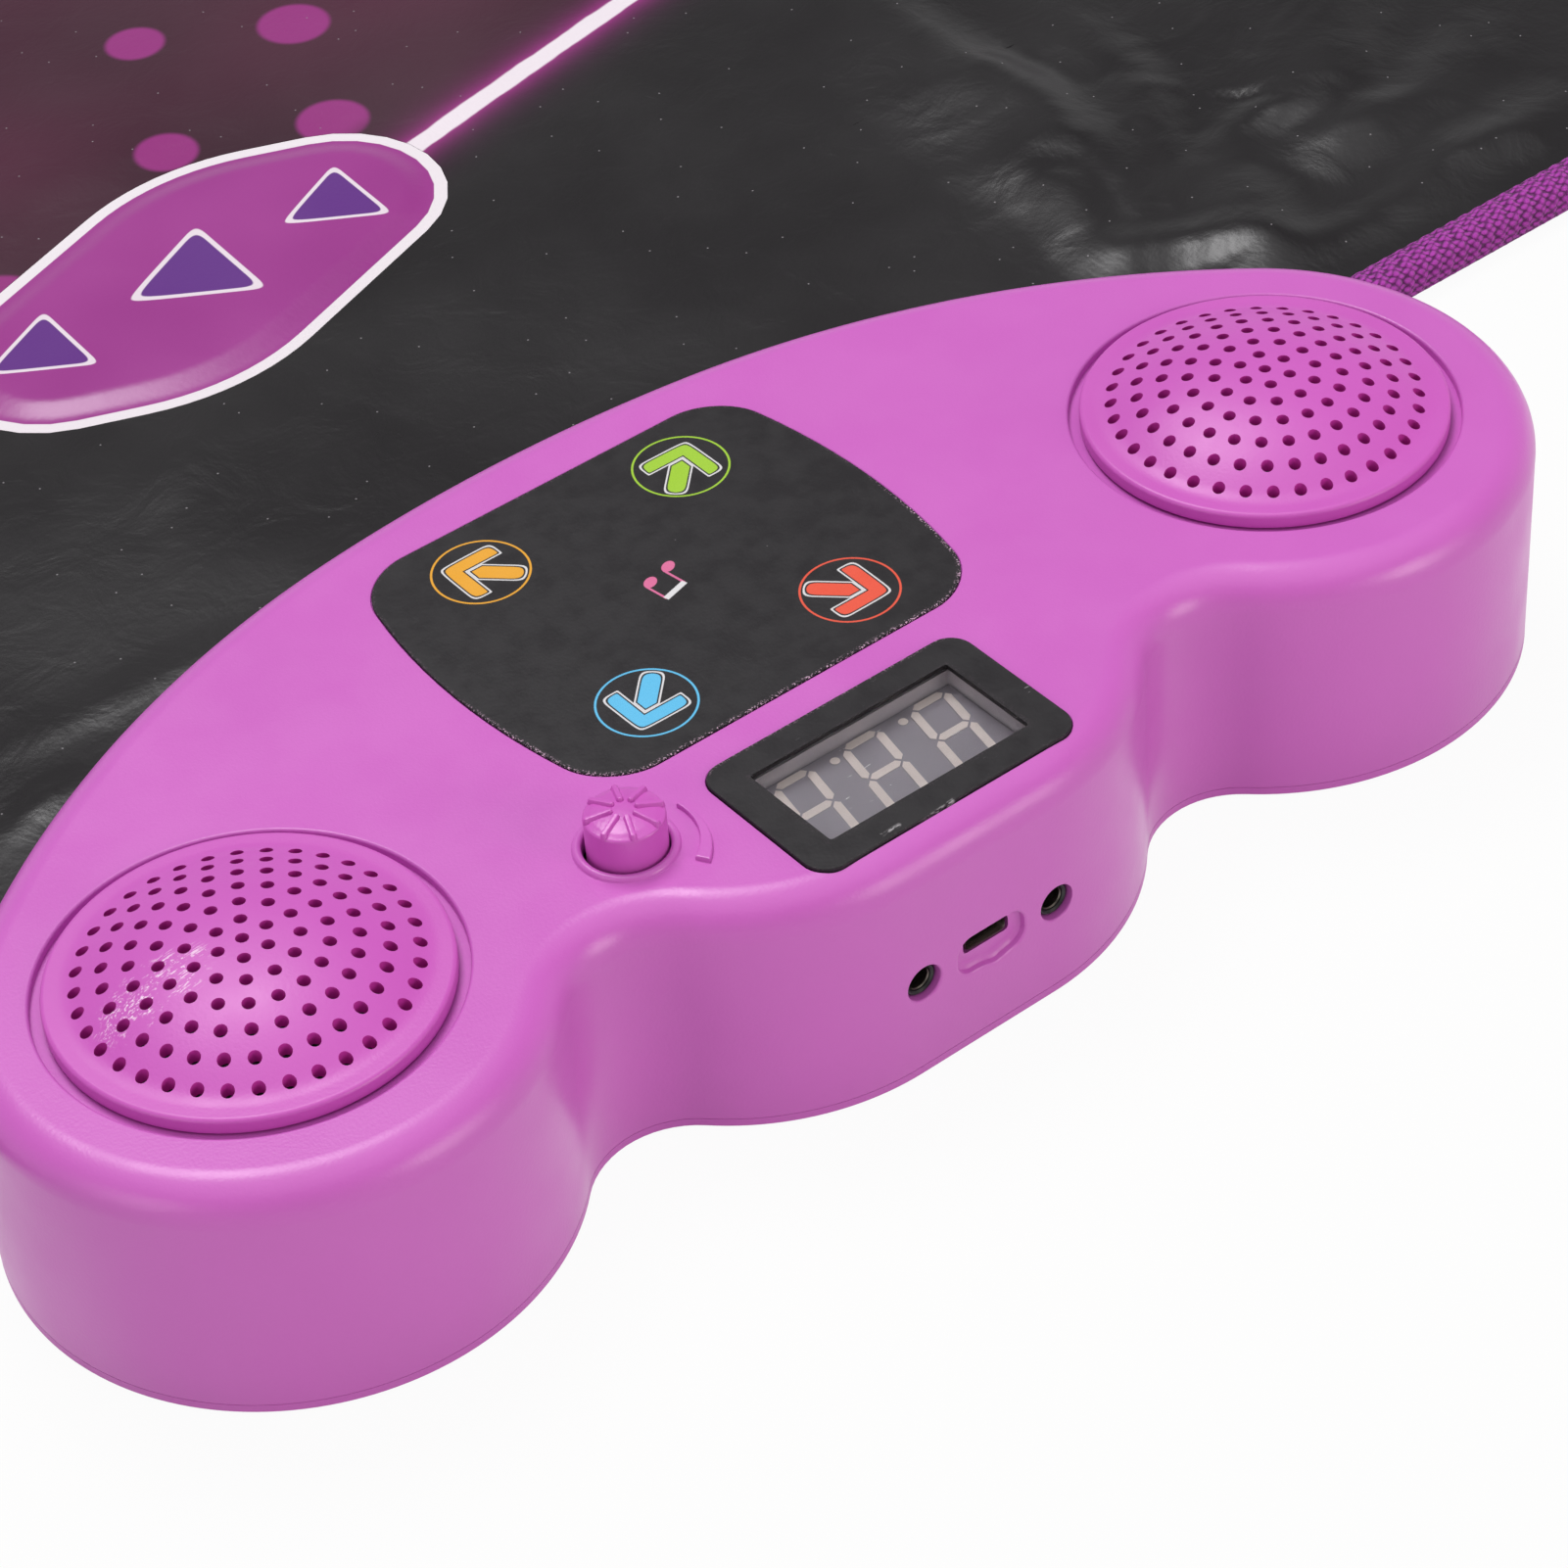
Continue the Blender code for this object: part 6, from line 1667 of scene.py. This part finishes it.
# Creases beside the console: points in millimetres from its centre, then the width of the
# slope on the right hand and on the left hand of the way, and the height, times FOLD_RISE
FOLD_RISE = 0.0013
FOLDS = (
    (((-165, -225), (-160, -157), (-159, -130), (-154, -110), (-143, -74)), 26.0, 12.0, 2.7),
    (((-142, -124), (-146, -106), (-142, -94), (-137, -70)), 11.0, 7.0, 0.9),
    (((-190, -162), (-179, -126), (-171, -115), (-162, -102), (-146, -74)), 13.0, 11.0, 1.5),
    (((-266, -198), (-232, -136), (-211, -109), (-199, -95), (-178, -84)), 32.0, 20.0, 3.0),
    (((-165, -92), (-182, -100), (-190, -99), (-202, -94)), 8.0, 8.0, 0.9),
    (((-177, -104), (-167, -81), (-162, -70), (-154, -54)), 17.0, 14.0, 2.2),
    (((-130, -88), (-146, -81), (-155, -77), (-170, -66)), 8.0, 9.0, 1.0),
    (((-150, -62), (-175, -62), (-186, -60), (-212, -50)), 8.0, 9.0, 0.9),
    (((-176, -87), (-198, -82), (-213, -82), (-242, -98)), 14.0, 11.0, 1.5),
    (((-182, -62), (-203, -64), (-215, -62), (-234, -68)), 11.0, 12.0, 1.6),
    (((0, -162), (13, -151), (27, -141)), 4.0, 7.0, 0.5),
    (((92, -106), (58, -104), (45, -103), (26, -102)), 5.0, 8.0, 0.35),
    (((93, -84), (80, -89), (76, -90), (66, -88)), 6.0, 6.0, 0.5),
)


def fold_height(x, y, fold):
    """One crease, with a slope on either side that ends softly; it dies out at its ends."""
    points, right, left, height = fold
    best = None
    for i in range(len(points) - 1):
        (ax, ay), (bx, by) = points[i], points[i + 1]
        dx, dy = bx - ax, by - ay
        reach = hypot(dx, dy)
        share = min(1.0, max(0.0, ((x - ax) * dx + (y - ay) * dy) / reach ** 2))
        away = hypot(x - ax - dx * share, y - ay - dy * share)
        if best is None or away < best[0]:
            hand = dy * (x - ax) - dx * (y - ay)
            best = (away, right if hand > 0.0 else left, (i + share) / (len(points) - 1))
    away, width, along = best
    if away >= width:
        return 0.0
    drop = 1.0 - away / width
    ends = min(1.0, min(along, 1.0 - along) * 3.0)
    return height * drop * drop * (3.0 - 2.0 * drop) * ends


def crease_height(x, y):
    """Creases of a mat that was folded and rolled, about 1 at their highest: broad bands and
    finer crests, rougher beside the console."""
    back_y = y - CONSOLE_Y
    swell = noise.noise(Vector((x * 7.0 + y * 3.0, y * 11.0 - x * 4.0, 3.1)))
    warp = Vector((noise.noise(Vector((x * 13.0, y * 13.0, 7.7))),
                   noise.noise(Vector((x * 13.0, y * 13.0, 1.3))), 0.0)) * 0.8
    spot = Vector((x * 12.0 + y * 6.0, y * 19.0 - x * 8.0, 0.0)) + warp
    band = ridged(spot, 2.0)
    fine = ridged(spot * 2.6 + Vector((4.0, 1.0, 2.0)), 3.0)
    tiny = ridged(spot * 5.5 + warp * 2.0, 2.0)
    corner = max(0.0, 1.0 - hypot(x + 0.178, (back_y + 0.098) * 1.2) / 0.105)
    left = max(0.0, 1.0 - hypot(x - 0.095, back_y + 0.095) / 0.06)
    calm = max(0.0, noise.noise(Vector((x * 5.0, y * 5.0, 11.0))) + 0.3)
    rough = min(1.0, corner * 1.6 + left * 0.4)
    height = 0.3 * (swell + 0.6) + (0.2 * calm + 0.1 * rough) * band
    height += (0.07 * calm + 0.08 * rough) * fine + 0.03 * rough * tiny
    return height


def add_print_map(mesh, name="print"):
    """A map in metres, as seen from above at rest."""
    layer = mesh.uv_layers.new(name=name)
    for loop in mesh.loops:
        place = mesh.vertices[loop.vertex_index].co
        layer.data[loop.index].uv = (place.x, place.y)


def bend(sheet, sizes, fold):
    """Bakes a sheet's placement into its mesh; it does not bend the sheet at the fold."""
    y = joint(fold)["pos_m"][1]
    half = sizes.fold_band / 2
    joint(fold)["parent"]
    joint(fold)["child"]
    y + half
    y - half
    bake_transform(sheet)


class DANCEMAT_OT_cover(Operator):
    """Models the printed cover of the mat and the sheet under it"""
    bl_idname = "dance_mat.cover"
    bl_label = "Mat cover"

    def execute(self, context):
        props = context.scene.dance_mat
        material = cover_finish(props.finish)
        backing = cloth_finish("backing_cloth", (0.03, 0.03, 0.035), "print")
        middle_y = (FOLD_NEAR + FOLD_FAR) / 2
        edge = 0.0016
        halves = (("near", middle_y, MAT_BACK - edge, "mat_fold_near", "ab"),
                  ("far", MAT_FRONT + edge, middle_y, "mat_fold_far", "c"))
        for label, low_y, high_y, fold, parts in halves:
            size = (2 * (MAT_HALF_X - edge), high_y - low_y)
            cores = [f"mat_core_{part}" for part in ("ab" if label == "near" else "bc")]
            layers = (("cover", self.cover_mesh, material, "black_vinyl", "mat_top_sheet", cores),
                      ("backing", self.backing_mesh, backing, "backing_cloth", "mat_base_sheet",
                       ()))
            for name, shape, finish, slot, node, rests_on in layers:
                sheet = piece(f"{name}_{label}", shape(props.mat, low_y, high_y, edge), finish,
                              body=None, replaced=[f"{node}_{part}" for part in parts])
                bend(sheet, props.mat, fold)
                area = sum(face.area for face in sheet.data.polygons if face.normal.z > 0.3)
                min(area, size[0] * size[1])
        return {"FINISHED"}

    def grid(self, cell, low_y, high_y, edge):
        """A flat grid over one half of the mat."""
        bm = bmesh.new()
        width = 2 * (MAT_HALF_X - edge)
        columns = round(width / cell)
        rows = round((high_y - low_y) / cell)
        bmesh.ops.create_grid(bm, x_segments=columns, y_segments=rows, size=0.5)
        bmesh.ops.scale(bm, vec=(width, high_y - low_y, 1.0), verts=bm.verts)
        bmesh.ops.translate(bm, vec=(0, (low_y + high_y) / 2, 0), verts=bm.verts)
        return bm

    def mat_outline(self, sizes, edge):
        return rounded_rectangle(MAT_HALF_X - edge, (MAT_BACK - MAT_FRONT) / 2 - edge,
                                 sizes.corner_r - edge, (0.0, (MAT_BACK + MAT_FRONT) / 2), 10)

    def cover_mesh(self, sizes, low_y, high_y, edge):
        cell = sizes.cell
        bm = self.grid(cell, low_y, high_y, edge)
        trim_to(bm, self.mat_outline(sizes, edge), cell)
        self.refine(bm)
        pads = [step_pad_outline(name, -GAP * 0.3, sizes.pad_corner_r)
                for name in CORNER_PADS + ("start",)]
        pads = [outline for outline in pads if any(low_y < y < high_y for _, y in outline)]
        self.crease(bm, sizes, pads, low_y, high_y)
        return self.sheet_mesh(bm, "cover", SHEET_TOP, 0.0005, pads)

    def refine(self, bm):
        """Smaller cells where the cover is crumpled beside the console."""
        zones = ((-0.27, -0.125, CONSOLE_Y - 0.15, 2), (0.02, 0.11, CONSOLE_Y - 0.125, 1))
        for low_x, high_x, low_y, cuts in zones:
            rough = [face for face in bm.faces if low_x < face.calc_center_median().x < high_x
                     and face.calc_center_median().y > low_y]
            edges = list({edge for face in rough for edge in face.edges})
            bmesh.ops.subdivide_edges(bm, edges=edges, cuts=cuts, use_grid_fill=True)

    def crease(self, bm, sizes, pads, low_y, high_y):
        """Raises the creases, and lets them die out at pads, tape, folds and console."""
        fade = 0.014
        room, climb = 0.0009, 0.35
        folds_to_x, folds_from_y = 0.15, CONSOLE_Y - 0.22
        wander, waver = 4.0, 26.0
        coarse = console_outline(bpy.context.scene.dance_mat.console)[::4]
        reach = 0.012
        near_console = [max(p[0] for p in coarse) + reach, min(p[1] for p in coarse) - reach]
        for vert in bm.verts:
            x, y = vert.co.x, vert.co.y
            calm = min(MAT_HALF_X - abs(x), MAT_BACK - y, y - MAT_FRONT) - sizes.tape_width
            calm = min(calm, abs(y - FOLD_NEAR), abs(y - FOLD_FAR))
            calm = min(calm, y - low_y if low_y > MAT_FRONT + 0.01 else 1.0)
            calm = min(calm, high_y - y if high_y < MAT_BACK - 0.01 else 1.0)
            for outline in pads:
                if calm <= 0.0:
                    break
                xs = [p[0] for p in outline]
                ys = [p[1] for p in outline]
                if (min(xs) - fade < x < max(xs) + fade) and (min(ys) - fade < y < max(ys) + fade):
                    calm = min(calm, nearest_on(outline, x, y)[0])
            share = min(1.0, max(0.0, calm / fade))
            height = crease_height(x, y) * sizes.crease
            if x < folds_to_x and y > folds_from_y:
                wx, wy = (1000 * way + wander * noise.noise(Vector((x * waver, y * waver, seed)))
                          for way, seed in ((x, 5.0), (y - CONSOLE_Y, 9.0)))
                height += FOLD_RISE * sum(fold_height(wx, wy, fold) for fold in FOLDS)
            height *= share * share * (3 - 2 * share)
            if abs(x) < near_console[0] and y > near_console[1] and height > room:
                away = nearest_on(coarse, x, y)[0]
                if is_inside(coarse, x, y):
                    away = 0.0
                height = min(height, room + away * climb)
            vert.co.z = height

    def backing_mesh(self, sizes, low_y, high_y, edge):
        cell = sizes.cell * 2
        bm = self.grid(cell, low_y, high_y, edge)
        trim_to(bm, self.mat_outline(sizes, edge), cell)
        return self.sheet_mesh(bm, "backing", BASE_SHEET_T, BASE_SHEET_T * 0.8)

    def sheet_mesh(self, bm, name, top, thickness, openings=()):
        loose = [v for v in bm.verts if not v.link_faces]
        bmesh.ops.delete(bm, geom=loose, context="VERTS")
        bmesh.ops.translate(bm, vec=(0, 0, top), verts=bm.verts)
        walls = bmesh.ops.extrude_face_region(bm, geom=bm.faces[:])
        lowered = [v for v in walls["geom"] if isinstance(v, bmesh.types.BMVert)]
        bmesh.ops.translate(bm, vec=(0, 0, -thickness), verts=lowered)
        sheet = bpy.data.objects.new(name, mesh_of(bm, name, 50.0))
        bpy.context.scene.collection.objects.link(sheet)
        for outline in openings:
            carve_loft(sheet, [raised(outline, top - 0.01), raised(outline, top + 0.01)])
        mesh = sheet.data
        bpy.data.objects.remove(sheet)
        mesh.shade_smooth()
        mesh.set_sharp_from_angle(angle=radians(50.0))
        add_print_map(mesh)
        return mesh


class DANCEMAT_OT_pads(Operator):
    """Models the five soft step pads"""
    bl_idname = "dance_mat.pads"
    bl_label = "Step pads"

    def execute(self, context):
        props = context.scene.dance_mat
        for name in CORNER_PADS + ("start",):
            if name == "start":
                material = label_finish(props.finish)
            else:
                material = pad_finish(props.finish, name)
            pad = piece(f"pad_patch_{name}", self.pad_mesh(name, props.mat.pad_corner_r), material,
                        body=f"{name}_pad", replaced=(f"step_pad_{name}",))
        return {"FINISHED"}

    def pad_mesh(self, name, corner):
        """A flat cushion: its soft edge rises from the cover to the crown."""
        low, high = (corner_point.z for corner_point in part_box(f"step_pad_{name}"))
        edge_z = SHEET_TOP
        crown = high - edge_z
        soft = 0.006
        flat = 0.0026
        foot = 0.0004
        rings = [raised(step_pad_outline(name, inset, corner), z)
                 for inset, z in ((foot, low), (0.0, low + foot), (0.0, edge_z))]
        steps = 9
        for i in range(steps + 1):
            share = i / steps
            rise = crown * share * share * (3 - 2 * share)
            rings.append(raised(step_pad_outline(name, flat + soft * share, corner),
                                edge_z + rise))
        top = flat + soft
        insets = [top + (0.0155 - top) * i / 5 for i in range(1, 6)]
        for inset in insets:
            rings.append(raised(step_pad_outline(name, inset, corner), high))
        bm = bmesh.new()
        loft(bm, rings)
        mark_edge(bm, step_pad_outline(name, 0.0, corner))
        mesh = mesh_of(bm, f"pad_{name}", 50.0)
        add_print_map(mesh)
        return mesh


class DANCEMAT_OT_binding(Operator):
    """Models the woven tape folded round the edge of the mat"""
    bl_idname = "dance_mat.binding"
    bl_label = "Binding tape"

    def execute(self, context):
        props = context.scene.dance_mat
        material = tape_finish(props.finish)
        middle_y = (FOLD_NEAR + FOLD_FAR) / 2
        path = self.path(props.mat)
        parts = (("near", lambda y: y >= middle_y, "mat_fold_near", ("a", "b_left", "b_right")),
                 ("far", lambda y: y <= middle_y, "mat_fold_far", ("c",)))
        for label, keeps, fold, nodes in parts:
            stations = self.stretch(path, keeps)
            mesh, cut = self.tape_mesh(props.mat, stations, f"tape_{label}")
            tape = piece(f"tape_{label}", mesh, material, body=None,
                         replaced=[f"edge_binding_{node}" for node in nodes])
            bend(tape, props.mat, fold)
        return {"FINISHED"}

    def path(self, sizes):
        """Points along the mat's edge, with their inward direction."""
        half_y = (MAT_BACK - MAT_FRONT) / 2
        center = (0.0, (MAT_BACK + MAT_FRONT) / 2)
        nudge = 0.001
        outer = rounded_rectangle(MAT_HALF_X, half_y, sizes.corner_r, center, 50, 1000)
        inner = rounded_rectangle(MAT_HALF_X - nudge, half_y - nudge, sizes.corner_r - nudge,
                                  center, 50, 1000)
        return [(Vector(point), (Vector(partner) - Vector(point)).normalized())
                for point, partner in zip(outer, inner)]

    def stretch(self, path, keeps):
        """The run of points on one side of the split, in order."""
        count = len(path)
        flags = [keeps(point.y) for point, _ in path]
        i = next(i for i in range(count) if flags[i] and not flags[i - 1])
        found = []
        while flags[i % count]:
            found.append(path[i % count])
            i += 1
        split_y = (FOLD_NEAR + FOLD_FAR) / 2
        for end in (0, -1):
            point, inward = found[end]
            found[end] = (Vector((point.x, split_y)), inward)
        return found

    def section(self, sizes):
        """The folded tape, cut across: inset, height and how far its cords stand out there."""
        skin = 0.0007
        top = MAT_T
        crown = top + 0.0009
        reach = sizes.tape_width
        outer = [(reach, SHEET_TOP + 0.0001, 0.0), (reach - 0.0004, top - 0.0001, 0.3),
                 (reach - 0.0014, crown - 0.0004, 1.0), (reach - 0.0028, crown - 0.0001, 1.0),
                 (reach * 0.5, crown, 1.0), (0.0028, crown - 0.0003, 1.0),
                 (0.0017, top + 0.0001, 1.0), (0.0009, top - 0.0008, 1.0),
                 (0.0005, top - 0.0019, 1.0), (0.0004, top - 0.0031, 1.0),
                 (0.0006, top - 0.0045, 0.6), (0.0012, 0.0006, 0.2), (0.002, 0.0001, 0.0),
                 (reach - 0.0006, 0.0, 0.0), (reach, 0.0002, 0.0)]
        inner = [(reach, BASE_SHEET_T * 0.2 + 0.0003, 0.0),
                 (skin + 0.0006, BASE_SHEET_T * 0.2 + 0.0003, 0.0),
                 (skin + 0.0006, SHEET_TOP + 0.0001, 0.0)]
        return outer + inner

    def tape_mesh(self, sizes, stations, name):
        """A grid laid along the edge and round the section, and closed."""
        section = self.section(sizes)
        section.append(section[0])
        columns, rows = len(section) - 1, len(stations) - 1
        across, run = [0.0], [0.0]
        for before, after in zip(section, section[1:]):
            across.append(across[-1] + hypot(after[0] - before[0], after[1] - before[1]))
        for before, after in zip(stations, stations[1:]):
            run.append(run[-1] + (after[0] - before[0]).length)
        bm = bmesh.new()
        bmesh.ops.create_grid(bm, x_segments=columns, y_segments=rows, size=0.5)
        layer = bm.loops.layers.uv.new("tape")
        for vert in bm.verts:
            column = round((vert.co.x + 0.5) * columns)
            row = round((vert.co.y + 0.5) * rows)
            point, inward = stations[row]
            inset, z, proud = section[column]
            spot = (run[row], across[column])
            cord = proud * 0.00036 * sin(2 * pi * (spot[0] + spot[1] * CORD_LEAN) / CORD_PITCH)
            upward = min(1.0, max(0.0, (inset - 0.0004) / 0.002)) if z > MAT_T / 2 else 0.0
            inset -= cord * (1.0 - upward)
            z += cord * upward
            for loop in vert.link_loops:
                loop[layer].uv = spot
            vert.co = (point.x + inward.x * inset, point.y + inward.y * inset, z)
        bmesh.ops.remove_doubles(bm, verts=bm.verts, dist=1e-6)
        rim = [edge for edge in bm.edges if edge.is_boundary]
        bmesh.ops.holes_fill(bm, edges=rim, sides=0)
        return mesh_of(bm, name, 50.0), (run[-1], across[-1] / 2)


# Pieces that keep their solid shape

class DANCEMAT_OT_finishes(Operator):
    """Gives every other piece of the frame its finish"""
    bl_idname = "dance_mat.finishes"
    bl_label = "Other finishes"

    def execute(self, context):
        finish = context.scene.dance_mat.finish
        steel = metal_finish()
        board = board_finish()
        purple = plastic_finish("door_plastic", tinted(finish.plastic, 0.97), 0.42).material
        grey = plastic_finish("grey_moulding", (0.3, 0.29, 0.28), 0.5).material
        white = plastic_finish("white_moulding", (0.7, 0.68, 0.62), 0.45).material
        ribbon = plastic_finish("ribbon_film", (0.6, 0.6, 0.58), 0.4).material
        foam = foam_finish()
        rubber = mottled_finish("foot_rubber", (0.02, 0.02, 0.02), 0.8, (0.015, 0.015, 0.015),
                                (0.035, 0.035, 0.035), 0.002, 0.0006, 0.00008)
        cell = cell_finish()
        paper = mottled_finish("cone_paper", (0.03, 0.03, 0.032), 0.85, (0.02, 0.02, 0.02),
                               (0.05, 0.05, 0.05), 0.001, 0.0008, 0.0001)
        finishes = {"housing_screw": steel, "battery_contact": steel, "volume_shaft": steel,
                    "volume_pot": steel, "battery_door_screw": steel, "battery_door": purple,
                    "control_board": board, "main_board": board, "mat_core": foam,
                    "rubber_foot": rubber, "battery_cell": cell, "speaker_cone": paper,
                    "speaker_frame": grey, "ribbon_connector": white, "mat_ribbon": ribbon}
        for name in CORNER_PADS:
            tint = tuple(getattr(finish, name))
            finishes[f"arrow_light_{name}"] = mottled_finish(
                f"{name}_lens", tint, 0.18, tinted(tint, 0.8), tinted(tint, 1.1), 0.002,
                transmission_weight=0.35)
        for name, node in frame["nodes"].items():
            fitting = [key for key in finishes if name.startswith(key)]
            if fitting:
                node.data.materials.clear()
                node.data.materials.append(finishes[max(fitting, key=len)])
        return {"FINISHED"}


STEPS = (
    DANCEMAT_OT_stage,
    DANCEMAT_OT_shell,
    DANCEMAT_OT_base,
    DANCEMAT_OT_grilles,
    DANCEMAT_OT_panel,
    DANCEMAT_OT_display,
    DANCEMAT_OT_knob,
    DANCEMAT_OT_sockets,
    DANCEMAT_OT_cover,
    DANCEMAT_OT_pads,
    DANCEMAT_OT_binding,
    DANCEMAT_OT_finishes,
)


class DANCEMAT_PT_sidebar(Panel):
    """Lists the steps that build the dance mat"""
    bl_idname = "DANCEMAT_PT_sidebar"
    bl_label = "Dance mat"
    bl_space_type = "VIEW_3D"
    bl_region_type = "UI"
    bl_category = "Dance mat"

    def draw(self, context):
        column = self.layout.column(align=True)
        for step in STEPS:
            column.operator(step.bl_idname)


CLASSES = (ConsoleSizes, GrilleSizes, MatSizes, Finishes, DanceMat, *STEPS, DANCEMAT_PT_sidebar)


def register():
    for item in CLASSES:
        bpy.utils.register_class(item)
    bpy.types.Scene.dance_mat = PointerProperty(type=DanceMat)


def unregister():
    del bpy.types.Scene.dance_mat
    for item in reversed(CLASSES):
        bpy.utils.unregister_class(item)


def main():
    register()
    for step in STEPS:
        group, name = step.bl_idname.split(".")
        getattr(getattr(bpy.ops, group), name)()


if __name__ == "__main__":
    main()
